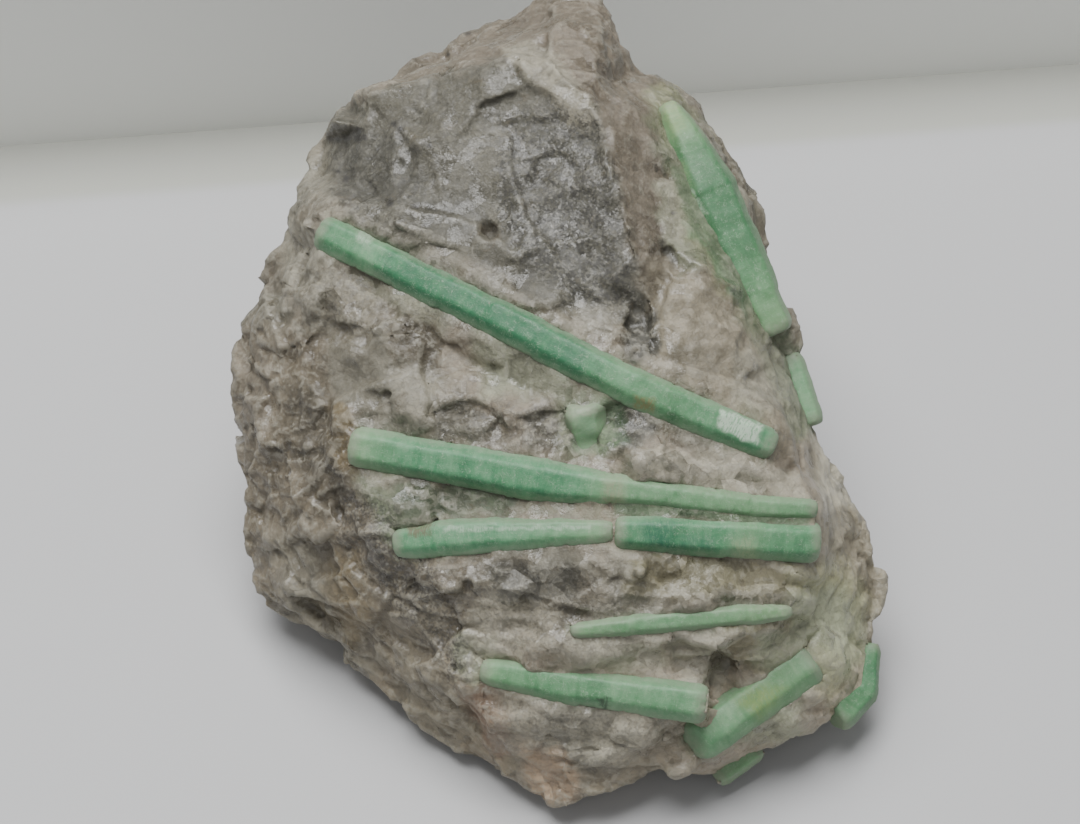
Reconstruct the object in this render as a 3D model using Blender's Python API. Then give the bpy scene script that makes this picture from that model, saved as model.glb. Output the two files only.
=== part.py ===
"""Emerald crystals in a broken lump of quartz.

The lump is one solid with a socket for each crystal. Each crystal is a solid of its own that sits in its
socket.

The shapes are laid out in a face frame, in millimetres: u runs to the right and v up across the broken
face that shows the crystals, and w points straight out of that face. The face leans back, and the lump rests
on a flat facet at z = 0. The world frame is in metres, with +X to the right, +Y to the back and +Z up, and
its origin lies on the resting facet, under the middle of the face.
"""

import math
import random

import bmesh
import bpy
from mathutils import Matrix, Vector, noise
from mathutils.geometry import barycentric_transform, delaunay_2d_cdt, intersect_point_tri_2d
from mathutils.kdtree import KDTree

MM = 0.001
FACE_LEAN = math.radians(50)  # from the horizontal to the face's outward direction
FACE_HEIGHT = 24.0  # of the face frame's origin above the resting facet, mm

FACE_EDGE = 3.0  # longest edge of the lump's triangles on the face side, mm
BACK_EDGE = 4.5  # the same behind the outline, mm
CHIP_LAYERS = ((9.0, 0.10, 0.45), (4.2, 0.10, 0.16))  # spacing mm, tilt, step mm of each layer of chips
CHIP_REACH = Vector((40, 48, 36))  # half the sides of the box that the chips fill, mm
LUMP_SWELL = (9.0, 0.5)  # spacing and height of the soft swells, mm
EDGE_SPACING = 2.5  # of the points along the rim of a flake or hollow, mm
EDGE_SLOPE = 0.45  # across the broken edge of a flake or hollow, mm
EDGE_WANDER = 0.3  # of that edge to either side, mm
RIB_WIDTH = 1.6  # of a rib at its foot, mm
RIB_WANDER = 0.4  # of its crest to either side, as a share of half that width
POINT_CLEARANCE = 0.4  # least distance between two points of the face, mm
MERGE_DISTANCE = 1e-5  # within which the triangulation takes two points as one, mm
FACE_NORMAL_LEAST = 0.35  # a point belongs to the face where its normal's w is above this
BACK_NORMAL_MOST = -0.3  # and to the back where it is below this
BACK_ROUGHNESS = 1.8  # times the face's
SHOULDER_INSET = 1.6  # of the blunt shoulder behind the outline, mm
SHOULDER_DEPTH = 6.5  # of that shoulder behind the outline, mm
SHOULDER_LOWEST = 10.0  # height above the resting facet below which there is none, mm
SOCKET_GAP = 0.34  # between a crystal and its socket, mm
SEED = 11

# The lump's widest outline round the face, clockwise from the top, as (u, v, w).
RIM = [
    (1, 43, -9), (6, 42.5, -8), (8, 38.5, -7), (10.5, 35.5, -7), (13.5, 34, -8), (16, 32, -8),
    (18, 29, -7), (20.5, 25, -7), (22.5, 20.5, -6), (24, 16.5, -5), (24.5, 13, -4), (25, 10, -3),
    (26, 6.5, -2), (27.5, 2.5, -2), (27.5, -1.5, -1), (28.5, -4, 0), (30.5, -7.5, -1), (32.5, -12, -1),
    (34.5, -16.5, -2), (34.5, -20.5, -2), (34, -25.5, -3), (33.5, -28.5, -3), (31, -31, -1), (28, -31.5, 1),
    (24.5, -32.5, 3.5), (20.5, -33.5, 4.5), (15.5, -34.5, 5), (11, -36, 6), (6, -37.5, 6), (2.5, -38.5, 5),
    (-0.5, -38, 4), (-4.5, -36, 3), (-8.5, -34, 0), (-13, -31.5, -2), (-17.5, -27.5, -4), (-21.5, -24, -6),
    (-25.5, -21.5, -8), (-27.5, -19.5, -8), (-28.5, -15, -8), (-30, -9.5, -8), (-31, -5, -8),
    (-32, 0.5, -7),
    (-31.5, 5.5, -7), (-30.5, 9, -8), (-28.5, 13, -9), (-25.5, 18.5, -9), (-23.5, 23, -9), (-22.5, 28, -9),
    (-20, 31.5, -9), (-15.5, 34.5, -11), (-10.5, 37.5, -13), (-5, 40.5, -13),
]

# Points on the face side, inside the outline: ridges, hollows and the middles of the broad facets.
UPPER_FACET = [
    (-21, 29.5, -4), (-17, 32, -2.5), (-12, 33, -1), (-8, 34, 0.5), (-3.5, 35, 2.5), (2, 33.5, 4.5),
    (5.5, 30.5, 6), (6.5, 26.5, 8), (7.5, 20, 10), (9, 15.5, 11), (11, 9, 11), (6, 8.5, 11),
    (-1, 11.5, 9), (-7, 15.5, 7), (-14, 19, 4.5), (-19.5, 20.5, 1), (-22.5, 22, -2), (-9, 26, 3.5),
    (0, 22.5, 6.5), (-14, 26, 1), (-4, 18.5, 7), (4, 14, 9.5), (2, 38.5, -1), (6, 37, 0),
]
SIDE_SLOPE = [
    (11, 30, 2), (12.5, 25.5, 3.5), (14, 20.5, 5), (16, 15.5, 6.5), (11.5, 11.5, 10), (15, 28.5, -2.5),
    (18.5, 22.5, -2), (21, 17, -1.5), (23, 11, 0), (18.5, 13, 6), (20, 9, 6.5), (23, 6.5, 2.5),
]
MIDDLE_FACET = [
    (-21, 15, 2), (-24, 19, -2), (-13.5, 11, 5.5), (-7, 6.5, 8), (0, 2.5, 10.5), (6, -0.5, 12),
    (11.5, -2.5, 12.5), (17.5, -4, 12), (22.5, -5, 10), (-13.5, 16.5, 5), (-7, 13, 7.5), (2, 8.5, 10),
    (9.5, 4, 12.5), (15.5, 2, 12), (21.5, -0.5, 10.5), (14.5, 11, 10), (19, 6.5, 10), (24, 1, 5),
    (26, -1.5, 3.5), (14.5, 6, 12), (-6, 1, 11), (2, -2, 13), (9.5, -4.5, 14), (24.5, -6.5, 9),
    (27.5, -8.5, 6), (-19, -1.5, 6.5), (-24, 8, 1), (-28.5, 8.5, -4), (-25.5, 13.5, -3), (-15.5, 7.5, 6.5),
    (-12.5, 1, 9), (-25, 1, 0.5), (-29.5, 1, -4),
]
LOWER_FACET = [
    (-17, -6.5, 7.5), (-13.5, -9, 9), (-4, -9, 11), (5.5, -9.5, 13), (15.5, -14.5, 12.5), (23, -15, 11),
    (27.5, -14.5, 7.5), (-13.5, -14.5, 8.5), (-11.5, -17, 9.5), (-4, -17, 11.5), (5.5, -17, 13),
    (15.5, -17.5, 13), (23, -17, 11), (29, -22.5, 5.5), (-9.5, -20.5, 9), (-6.5, -25.5, 8), (-2, -22, 11.5),
    (6, -23, 12), (14.5, -24, 11), (21, -22, 10.5), (-4, -30, 7), (2, -31, 9), (9.5, -30.5, 9.5),
    (15.5, -31.5, 8), (1, -35.5, 6), (8, -34.5, 8), (20, -30, 8), (24.5, -27, 8), (27.5, -25, 6.5),
    (29.5, -28.5, 3),
]
LEFT_FLANK = [
    (-25.5, -3.5, 0.5), (-24, -9, 1.5), (-21, -14.5, 3), (-16, -20.5, 4), (-11.5, -27.5, 4), (-7, -32, 3),
    (-28.5, -6, -4), (-25, -18, -3), (-20, -22.5, -1),
]
RIGHT_FLANK = [(30.5, -11.5, 2), (31.5, -17.5, 2.5), (32, -22.5, 1)]

# Flakes that stand proud of the face and hollows that lie below it: height in mm, then the outline (u, v).
PLATES = [
    (-0.5, [(-3.5, 29), (2, 29.5), (6, 26.5), (8, 19), (8.5, 14.5), (6, 11.5), (2, 14.5), (-1, 18),
    (-2.5, 23)]),
    (-0.5, [(-20, 28), (-15.5, 29.5), (-13, 27.5), (-12, 24.5), (-13.5, 21.5), (-17.5, 21), (-20.5, 23.5)]),
    (0.6, [(-3.5, 36), (2, 34.5), (5, 31), (5, 28.5), (2, 30), (-1, 32)]),
    (0.5, [(-10, 34), (-4, 35), (-1, 31.5), (-5, 30.5), (-8, 27), (-11, 24.5), (-13, 27), (-11.5, 30.5)]),
    (0.7, [(-19.5, 20.5), (-14, 21), (-9, 19.5), (-4, 17.5), (-2, 14.5), (-6, 14.5), (-12, 17.5),
    (-18.5, 19)]),
    (-1.0, [(9, 11), (11, 9.5), (11, 6), (9.5, 4), (8, 5), (8, 8)]),
    (1.0, [(12.5, 12.5), (16, 14.5), (19, 12.5), (22.5, 8), (23, 4.5), (17.5, 2), (12.5, 3.5), (11, 7)]),
    (-0.8, [(-10.5, 0.5), (-6, 1.5), (-3.5, -1), (-2.5, -3), (-7, -2.5), (-10, -1.5)]),
    (-0.8, [(-2, 0), (1.5, 0.5), (2.5, -2.5), (-1, -3.5)]),
    (0.7, [(-15, 3.5), (-11.5, 4.5), (-10.5, 1), (-12, -1.5), (-14.5, -0.5)]),
    (-1.5, [(12.5, -22), (15.5, -21), (18, -22), (19, -24.5), (18.5, -27), (15.5, -27.5), (13, -26),
    (12, -24)]),
    (-0.8, [(-15, -14.5), (-10.5, -15.5), (-8, -18), (-7.5, -22), (-10, -23), (-12.5, -20), (-15, -17)]),
    (0.8, [(-21.5, 15), (-16.5, 15), (-14, 11), (-15.5, 7.5), (-20, 8.5), (-22.5, 11.5)]),
    (0.8, [(-28.5, 12.5), (-22.5, 13), (-21, 9), (-24, 5.5), (-29, 7)]),
    (0.7, [(-30.5, 4.5), (-24, 4.5), (-21, 1), (-22, -4), (-28, -3.5)]),
    (0.8, [(-27, -6), (-21, -6.5), (-19.5, -11.5), (-24, -15), (-27.5, -12)]),
    (0.7, [(-24, -17.5), (-18.5, -15), (-14.5, -18.5), (-17, -22.5), (-22, -21)]),
    (0.8, [(-13.5, -25), (-9.5, -23.5), (-7, -28), (-9, -32.5), (-13.5, -29.5)]),
    (0.7, [(-5.5, -28), (-0.5, -27), (2, -30.5), (-1.5, -34.5), (-4.5, -32)]),
    (-0.9, [(11, 16.5), (12.5, 17), (13.5, 15.5), (13, 13.5), (11.5, 14.5)]),
    (-0.6, [(-13.5, 11), (-8.5, 10), (-3.5, 6.5), (-2, 3.5), (-7, 4.5), (-11.5, 8)]),
    (0.6, [(22.5, -5.5), (26, -5.5), (26.5, -8), (22.5, -8)]),
    (0.7, [(7.5, -14), (11, -14), (11.5, -16.5), (8, -17)]),
]

# Thin ribs of quartz between the crystals: height in mm, then the crest as (u, v).
RIBS = [
    (0.6, [(-18.5, -6.5), (-16, -8.5), (-11.5, -9.5), (-4, -9.5), (5.5, -10)]),
    (0.7, [(9.5, -15), (17.5, -14.5), (25.5, -16)]),
    (0.7, [(7.5, -18), (15.5, -17.5), (22, -18.5), (26.5, -19)]),
    (0.8, [(5, -34), (9.5, -32.5), (14, -31)]),
    (0.5, [(5.5, 30), (6.5, 25.5), (8, 20), (9, 15.5), (11, 10)]),
    (0.6, [(2, -23.5), (6.5, -23), (10.5, -25)]),
]

# Points behind the outline. Those of the underside lie below the resting plane, which cuts them off flat.
UNDERSIDE = [
    (1, -35.5, -5), (-9, -31, -8.5), (-20, -21.5, -16.5), (-24, -10, -26), (-13, -2, -33), (2, -2, -33),
    (17, -4, -31), (27, -12, -24.5), (28.5, -21, -17), (25, -28.5, -10.5), (13, -33.5, -6.5), (0, -16, -21),
    (14, -17, -20.5),
]
BACK = [
    (-27, 2, -21), (-25.5, 10, -19), (-20, 19.5, -17.5), (-9, 11, -28.5), (6, 13.5, -27.5),
    (-13.5, 26, -18.5), (-2, 30, -21.5), (9, 25.5, -19.5), (17.5, 14, -20.5), (23.5, 4, -20), (4, 38, -14),
    (27, -6, -14), (13, 4.5, -30),
]

# Each crystal: its axis as (u, v, w) points with the prism's corner radius at each in mm, the turn of its
# six faces about the axis in degrees, and its thickness out of the face as a share of its width.
CRYSTALS = {
    "emerald_long_upper": (
        [(-21.6, 17.9, 2.3, 1.65), (-10.8, 12.5, 6.9, 1.72), (-1.0, 7.5, 10.6, 1.72),
         (8.1, 2.8, 12.6, 1.76), (15.3, -0.4, 12.7, 1.64), (22.4, -3.3, 11.7, 1.4)], 8, 0.64),
    "emerald_long_middle": (
        [(-18.3, -3.3, 7.1, 1.8), (-9.6, -4.8, 9.4, 1.9), (-0.7, -6.4, 11.8, 2.02), (5.7, -7.2, 13.2, 1.5),
         (10.5, -7.7, 13.3, 1.15), (15.3, -8.4, 13.1, 1.15), (21.1, -9.2, 12.4, 1.0),
         (26.5, -9.4, 11.7, 0.85)],
        0, 0.62),
    "emerald_pale_middle": (
        [(-14.0, -12.8, 8.8, 1.4), (-9.7, -12.3, 10.2, 1.75), (-0.7, -11.6, 12.3, 1.44),
         (6.9, -11.4, 13.3, 0.96)],
        12, 0.62),
    "emerald_deep_middle": (
        [(7.5, -11.4, 13.1, 1.4), (15.3, -11.8, 12.9, 1.62), (26.6, -12.5, 11.4, 1.7)], 0, 0.62),
    "emerald_needle": (
        [(3.1, -21.0, 12.7, 0.45), (6.0, -20.7, 12.8, 0.72), (15.4, -19.9, 12.6, 0.88),
         (21.0, -19.4, 11.8, 0.8), (24.1, -19.2, 11.1, 0.4)], 0, 0.75),
    "emerald_lower": (
        [(-5.6, -25.2, 8.4, 1.15), (0.1, -26.1, 10.0, 1.58), (5.8, -26.9, 11.0, 1.64),
         (15.9, -28.2, 11.5, 1.75)],
        4, 0.64),
    "emerald_corner": ([(15.3, -32.1, 8.2, 2.2), (26.6, -24.4, 6.0, 2.15)], 10, 0.66),
    "emerald_corner_stub": ([(17.4, -36.0, 2.6, 1.35), (21.6, -33.2, 2.0, 1.2)], 0, 0.8),
    "emerald_side": (
        [(12.7, 30.4, 0.2, 0.9), (14.2, 27.4, 0.6, 1.7), (15.7, 24.3, 1.0, 2.5), (16.8, 21.6, 1.4, 2.85),
         (19.2, 16.2, 2.0, 2.65), (21.1, 12.2, 2.4, 2.3), (23.2, 8.0, 2.6, 2.0)], 14, 0.7),
    "emerald_side_edge": ([(25.0, 5.6, -0.6, 1.2), (27.2, -1.2, 0.2, 1.2)], 0, 1.0),
    "emerald_right_foot": (
        [(33.2, -23.4, -1.2, 0.8), (32.8, -27.8, -0.8, 1.2), (29.4, -30.2, 1.4, 1.8)], 0, 0.9),
    "emerald_window": ([(4.9, -3.8, 10.0, 1.9), (4.3, 0.7, 11.9, 2.1)], 5, 0.9),
}
BREAK_SPACING = 5.0  # between the healed cracks across a crystal, mm
BREAK_WANDER = 0.25  # of a crack along the crystal, as a share of that spacing
BREAK_HALF_WIDTH = 0.1  # of the step at a crack, mm
BREAK_SHIFT = 0.07  # of the axis at each crack, mm
BREAK_SCALE = (0.95, 1.04)  # of the radius between two cracks
END_CHAMFER = 0.3  # on the rims of the end faces, mm
END_SIZE = 0.86  # of the end faces, as a share of the radius
STEEPEST = 0.8  # rise of an axis out of the face, past which its corners are turned from the v axis
END_SLANTS = {"emerald_corner": 0.7, "emerald_needle": 0.4}  # of the first end's break, per height

QUARTZ_COLOUR = (0.36, 0.33, 0.28, 1.0)
EMERALD_COLOUR = (0.16, 0.44, 0.24, 1.0)

LEAN_SIN, LEAN_COS = math.sin(FACE_LEAN), math.cos(FACE_LEAN)
FACE_TO_WORLD = Matrix((
    (MM, 0, 0, 0),
    (0, LEAN_SIN * MM, -LEAN_COS * MM, 0),
    (0, LEAN_COS * MM, LEAN_SIN * MM, FACE_HEIGHT * MM),
    (0, 0, 0, 1),
))
WORLD_UP_IN_FACE = Vector((0, LEAN_COS, LEAN_SIN))
FACE_OUTWARDS = Vector((0, 0, 1))


def clear_scene():
    for obj in list(bpy.data.objects):
        bpy.data.objects.remove(obj)


def principled(name, colour, roughness, transmission=0.0):
    material = bpy.data.materials.new(name)
    material.use_nodes = True
    shader = material.node_tree.nodes["Principled BSDF"]
    shader.inputs["Base Color"].default_value = colour
    shader.inputs["Roughness"].default_value = roughness
    shader.inputs["Metallic"].default_value = 0.0
    shader.inputs["Transmission Weight"].default_value = transmission
    return material


def add_object(name, bm, material):
    """An object of this mesh, which is taken from the face frame to the world."""
    bmesh.ops.transform(bm, matrix=FACE_TO_WORLD, verts=bm.verts)
    bmesh.ops.recalc_face_normals(bm, faces=bm.faces)
    mesh = bpy.data.meshes.new(name)
    bm.to_mesh(mesh)
    bm.free()
    mesh.materials.append(material)
    obj = bpy.data.objects.new(name, mesh)
    bpy.context.scene.collection.objects.link(obj)
    return obj


# The lump


def span_triangles(points, rim_count):
    """Triangles, as index triples, that span points seen from the front, of which rim_count are the rim."""
    flat = [Vector(point[:2]) for point in points]
    ring = list(range(rim_count))
    edges = list(zip(ring, ring[1:] + ring[:1]))
    _, _, faces, first, _, _ = delaunay_2d_cdt(flat, edges, [], 1, MERGE_DISTANCE)
    return [[first[i][0] for i in face] for face in faces]


def height_at(triangles, u, v):
    """The height of these solid triangles at (u, v), or None outside them."""
    flat = Vector((u, v, 0))
    for corners in triangles:
        shadow = [Vector((corner.x, corner.y, 0)) for corner in corners]
        if intersect_point_tri_2d(flat, *shadow):
            return barycentric_transform(flat, *shadow, *corners).z
    return None


def is_inside(outline, u, v):
    inside = False
    for (u0, v0), (u1, v1) in zip(outline, outline[1:] + outline[:1]):
        if (v0 > v) != (v1 > v) and u < u0 + (v - v0) / (v1 - v0) * (u1 - u0):
            inside = not inside
    return inside


def along_line(line):
    """Points along the line at the edge spacing, each with its direction."""
    for start, end in zip(line, line[1:]):
        start, end = Vector(start), Vector(end)
        count = math.ceil((end - start).length / EDGE_SPACING)
        for k in range(count):
            yield start.lerp(end, k / count), (end - start).normalized()


def face_points(rng):
    """The points of the face inside the outline: two rows round each plate, three along each rib, plain ones."""
    plain = UPPER_FACET + SIDE_SLOPE + MIDDLE_FACET + LOWER_FACET + LEFT_FLANK + RIGHT_FLANK
    base = [Vector(point) for point in RIM + plain]
    triangles = [[base[i] for i in face] for face in span_triangles(base, len(RIM))]

    def raised(u, v, leave_out=None):
        return sum(height for height, line in PLATES if line is not leave_out and is_inside(line, u, v))

    wanted = []
    for height, crest in RIBS:
        for middle, along in along_line(crest):
            across = Vector((-along.y, along.x)) * RIB_WIDTH / 2
            wander = across * rng.uniform(-RIB_WANDER, RIB_WANDER)
            for side, share in ((0, 1), (-1, 0), (1, 0)):
                spot = middle + wander + side * across
                wanted.append((spot, height * share + raised(*spot)))
    for height, outline in PLATES:
        area = sum(a[0] * b[1] - a[1] * b[0] for a, b in zip(outline, outline[1:] + outline[:1]))
        for edge, along in along_line(outline + outline[:1]):
            inwards = Vector((-along.y, along.x)) * math.copysign(1, area)
            edge = edge + inwards * rng.uniform(-EDGE_WANDER, EDGE_WANDER)
            around = raised(*edge, leave_out=outline)
            wanted.append((edge, around))
            wanted.append((edge + inwards * EDGE_SLOPE, height + around))
    wanted += [(Vector(point[:2]), raised(*point[:2])) for point in plain]

    points = []
    taken = [point.xy for point in base[: len(RIM)]]
    for spot, offset in wanted:
        level = height_at(triangles, *spot)
        if level is None or min((spot - other).length for other in taken) < POINT_CLEARANCE:
            continue
        taken.append(spot)
        points.append((*spot, level + offset))
    return points


def shoulder_points():
    """Points close behind the outline where the lump stands free, so that its sides are steep."""
    points = []
    for u, v, w in RIM[::2]:
        height = FACE_HEIGHT + v * LEAN_COS + w * LEAN_SIN
        if height > SHOULDER_LOWEST:
            inset = 1 - SHOULDER_INSET / math.hypot(u, v)
            points.append((u * inset, v * inset, w - SHOULDER_DEPTH))
    return points


def add_side(bm, rim, inner, is_back):
    """Spans the outline with triangles through the inner points. The material number marks the side."""
    verts = rim + [bm.verts.new(point) for point in inner]
    for corners in span_triangles([vert.co for vert in verts], len(rim)):
        face = bm.faces.new([verts[i] for i in corners])
        face.material_index = is_back
        face.normal_update()
        if (face.normal.z < 0) != is_back:
            face.normal_flip()


def refine(bm):
    """Splits the triangles until no edge is longer than its side allows."""
    while True:
        long_edges = []
        for edge in bm.edges:
            behind = all(face.material_index for face in edge.link_faces)
            if edge.calc_length() > (BACK_EDGE if behind else FACE_EDGE):
                long_edges.append(edge)
        if not long_edges:
            break
        bmesh.ops.subdivide_edges(bm, edges=long_edges, cuts=1)
        bmesh.ops.triangulate(bm, faces=bm.faces)
    for face in bm.faces:
        face.material_index = 0


def chip_field(rng, spacing, tilt, step):
    """A function of a point that is flat over each chip of a broken surface, with a step to the next one."""
    sides = 2 * CHIP_REACH
    count = int(sides.x * sides.y * sides.z / spacing**3)
    tree = KDTree(count)
    chips = []
    for i in range(count):
        centre = Vector(rng.uniform(-half, half) for half in CHIP_REACH)
        slope = Vector(rng.uniform(-tilt, tilt) for _ in range(3))
        tree.insert(centre, i)
        chips.append((centre, slope, rng.uniform(-step, step)))
    tree.balance()

    def offset(point):
        centre, slope, height = chips[tree.find(point)[1]]
        return height + slope.dot(point - centre)

    return offset


def break_surface(bm):
    """Moves the surface in and out by broken chips and soft swells, the face itself straight out only."""
    rng = random.Random(SEED)
    layers = [chip_field(rng, *layer) for layer in CHIP_LAYERS]
    spacing, height = LUMP_SWELL
    bm.normal_update()
    moves = []
    for vert in bm.verts:
        offset = sum(layer(vert.co) for layer in layers)
        offset += height * noise.noise(vert.co / spacing)
        if vert.normal.z < BACK_NORMAL_MOST:
            offset *= BACK_ROUGHNESS
        direction = FACE_OUTWARDS if vert.normal.z > FACE_NORMAL_LEAST else vert.normal
        moves.append(direction * offset)
    for vert, move in zip(bm.verts, moves):
        vert.co += move


def cut_resting_facet(bm):
    """Cuts the underside off flat where the lump rests, and closes the cut."""
    point = WORLD_UP_IN_FACE * -FACE_HEIGHT
    geometry = bm.verts[:] + bm.edges[:] + bm.faces[:]
    normal = WORLD_UP_IN_FACE
    cut = bmesh.ops.bisect_plane(bm, geom=geometry, plane_co=point, plane_no=normal, clear_inner=True)
    edges = [item for item in cut["geom_cut"] if isinstance(item, bmesh.types.BMEdge)]
    filled = bmesh.ops.contextual_create(bm, geom=edges)
    bmesh.ops.triangulate(bm, faces=filled["faces"])


def make_lump(material):
    bm = bmesh.new()
    rim = [bm.verts.new(point) for point in RIM]
    add_side(bm, rim, face_points(random.Random(SEED)), False)
    add_side(bm, rim, UNDERSIDE + BACK + shoulder_points(), True)
    refine(bm)
    break_surface(bm)
    cut_resting_facet(bm)
    return add_object("quartz_matrix", bm, material)


# The crystals


def ring_frame(axis):
    """Two directions square to the axis: across the face, and out of it."""
    out = Vector((0, 0, 1)) if abs(axis.z) < STEEPEST * axis.length else Vector((0, 1, 0))
    across = axis.cross(out).normalized()
    return across, across.cross(axis).normalized()


def ring_points(centre, axis, radius, turn, thickness, slant=0.0):
    """Six corners round the axis. A slant shifts them along it, more where they are further out."""
    across, out = ring_frame(axis)
    points = []
    for k in range(6):
        angle = math.radians(turn + 60 * k)
        rise = radius * thickness * math.sin(angle)
        shift = slant * rise * axis.normalized()
        points.append(centre + radius * math.cos(angle) * across + rise * out + shift)
    return points


def point_along(path, share):
    """The centre, direction and radius at this share of the way along a smoothly bending axis."""
    points = [Vector(p[:3]) for p in path]
    spans = [b - a for a, b in zip(points, points[1:])]
    bends = [spans[0].normalized()]
    bends += [(a.normalized() + b.normalized()).normalized() for a, b in zip(spans, spans[1:])]
    bends += [spans[-1].normalized()]
    left = share * sum(span.length for span in spans)
    for i, span in enumerate(spans):
        if left <= span.length or i == len(spans) - 1:
            part = left / span.length
            radius = path[i][3] + (path[i + 1][3] - path[i][3]) * part
            return points[i].lerp(points[i + 1], part), bends[i].lerp(bends[i + 1], part), radius
        left -= span.length


def stack_of_rings(rings):
    """A closed solid through these rings of six points, with flat ends."""
    bm = bmesh.new()
    first = bm.faces.new([bm.verts.new(point) for point in rings[0]])
    face = first
    for ring in rings[1:]:
        extruded = bmesh.ops.extrude_face_region(bm, geom=[face], use_keep_orig=True)
        if face is not first:
            bm.faces.remove(face)
        face = next(item for item in extruded["geom"] if isinstance(item, bmesh.types.BMFace))
        for vert, point in zip(face.verts, ring):
            vert.co = point
    return bm


def crystal_length(path):
    points = [Vector(p[:3]) for p in path]
    return sum((b - a).length for a, b in zip(points, points[1:]))


def crystal_rings(path, turn, thickness, slant, rng):
    """The rings of a prism with chamfered ends and healed cracks, at which it steps a little."""
    length = crystal_length(path)
    chamfer = END_CHAMFER / length
    breaks = max(1, round(length / BREAK_SPACING))
    shares = [(k + rng.uniform(-BREAK_WANDER, BREAK_WANDER)) / breaks for k in range(1, breaks)]
    half_width = BREAK_HALF_WIDTH / length
    stations = [(0.0, END_SIZE, 0), (chamfer, 1.0, 0)]
    for i, share in enumerate(shares):
        stations += [(share - half_width, 1.0, i), (share + half_width, 1.0, i + 1)]
    stations += [(1 - chamfer, 1.0, breaks - 1), (1.0, END_SIZE, breaks - 1)]
    steps = [(rng.uniform(-1, 1), rng.uniform(-1, 1), rng.uniform(*BREAK_SCALE)) for _ in range(breaks)]
    rings = []
    for share, size, segment in stations:
        centre, axis, radius = point_along(path, share)
        across, out = ring_frame(axis)
        shift_across, shift_out, scale = steps[segment]
        centre = centre + BREAK_SHIFT * (shift_across * across + shift_out * out)
        end_slant = slant if share <= chamfer else 0.0
        rings.append(ring_points(centre, axis, radius * size * scale, turn, thickness, end_slant))
    return rings


def socket_rings(path, turn, thickness, slant):
    """The rings of a plain prism that clears the crystal all round."""
    rings = []
    length = crystal_length(path)
    count = len(path)
    for i in range(count):
        share = crystal_length(path[: i + 1]) / length if i else 0.0
        centre, axis, radius = point_along(path, share)
        if i == 0:
            centre = centre - axis.normalized() * (SOCKET_GAP + slant * radius * thickness)
        if i == count - 1:
            centre = centre + axis.normalized() * SOCKET_GAP
        gap = SOCKET_GAP / math.cos(math.pi / 6) / min(1, thickness)
        wider = radius * max(BREAK_SCALE) + BREAK_SHIFT + gap
        rings.append(ring_points(centre, axis, wider, turn, thickness))
    return rings


def make_crystal(name, shape, material):
    rings = crystal_rings(*shape, END_SLANTS.get(name, 0.0), random.Random(name))
    return add_object(name, stack_of_rings(rings), material)


def cut_socket(lump, name, shape):
    rings = socket_rings(*shape, END_SLANTS.get(name, 0.0))
    cutter = add_object(name + "_socket", stack_of_rings(rings), lump.data.materials[0])
    cutter.hide_render = True
    cutter.display_type = "WIRE"
    cut = lump.modifiers.new(cutter.name, "BOOLEAN")
    cut.operation = "DIFFERENCE"
    cut.object = cutter


def keep_largest_piece(obj):
    """Fixes the cuts in the mesh and drops the crumbs that they freed."""
    graph = bpy.context.evaluated_depsgraph_get()
    mesh = bpy.data.meshes.new_from_object(obj.evaluated_get(graph))
    obj.modifiers.clear()
    obj.data = mesh
    bm = bmesh.new()
    bm.from_mesh(mesh)
    left = set(bm.verts)
    pieces = []
    while left:
        piece = set()
        front = [left.pop()]
        while front:
            vert = front.pop()
            piece.add(vert)
            near = {edge.other_vert(vert) for edge in vert.link_edges} & left
            left -= near
            front += near
        pieces.append(piece)
    pieces.sort(key=len)
    for piece in pieces[:-1]:
        bmesh.ops.delete(bm, geom=list(piece), context="VERTS")
    bm.to_mesh(mesh)
    bm.free()


def main():
    clear_scene()
    quartz = principled("quartz", QUARTZ_COLOUR, roughness=0.6)
    emerald = principled("emerald", EMERALD_COLOUR, roughness=0.25, transmission=0.3)
    lump = make_lump(quartz)
    for name, shape in CRYSTALS.items():
        make_crystal(name, shape, emerald)
        cut_socket(lump, name, shape)
    bpy.context.view_layer.update()
    keep_largest_piece(lump)


main()
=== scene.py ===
import math
import random

import bmesh
import bpy
import numpy as np
from mathutils import Matrix, Vector, noise
from mathutils.bvhtree import BVHTree
from mathutils.kdtree import KDTree


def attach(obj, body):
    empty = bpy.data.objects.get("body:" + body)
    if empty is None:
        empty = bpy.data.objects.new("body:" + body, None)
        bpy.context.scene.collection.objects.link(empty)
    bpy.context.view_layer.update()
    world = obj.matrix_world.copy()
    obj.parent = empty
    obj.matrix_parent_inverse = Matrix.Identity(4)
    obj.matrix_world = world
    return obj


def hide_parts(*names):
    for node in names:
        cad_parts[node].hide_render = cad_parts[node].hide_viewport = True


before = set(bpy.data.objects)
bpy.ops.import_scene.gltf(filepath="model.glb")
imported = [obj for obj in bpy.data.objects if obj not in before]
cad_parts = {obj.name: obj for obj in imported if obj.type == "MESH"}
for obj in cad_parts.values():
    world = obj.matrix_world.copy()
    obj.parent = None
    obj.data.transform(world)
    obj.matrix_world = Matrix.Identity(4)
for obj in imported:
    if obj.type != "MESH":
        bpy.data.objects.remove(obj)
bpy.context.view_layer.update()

mm = 0.001

# The broken face that shows the crystals leans back. Places on it are (u, v, w) in millimetres: u to the
# right, v up across the face, w straight out of it. A sight is where a point falls on the plane w = 0, seen
# by an eye that stands straight out of the face.
face = {
    "lean": math.radians(50),
    "height": 24.0,
    "eye": 320.0,
    "wide": 108.0,  # of the plane w = 0 in the camera's view
}
leanSin, leanCos = math.sin(face["lean"]), math.cos(face["lean"])
faceToWorld = Matrix((
    (mm, 0, 0, 0),
    (0, leanSin * mm, -leanCos * mm, 0),
    (0, leanCos * mm, leanSin * mm, face["height"] * mm),
    (0, 0, 0, 1),
))
worldToFace = faceToWorld.inverted()


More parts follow.
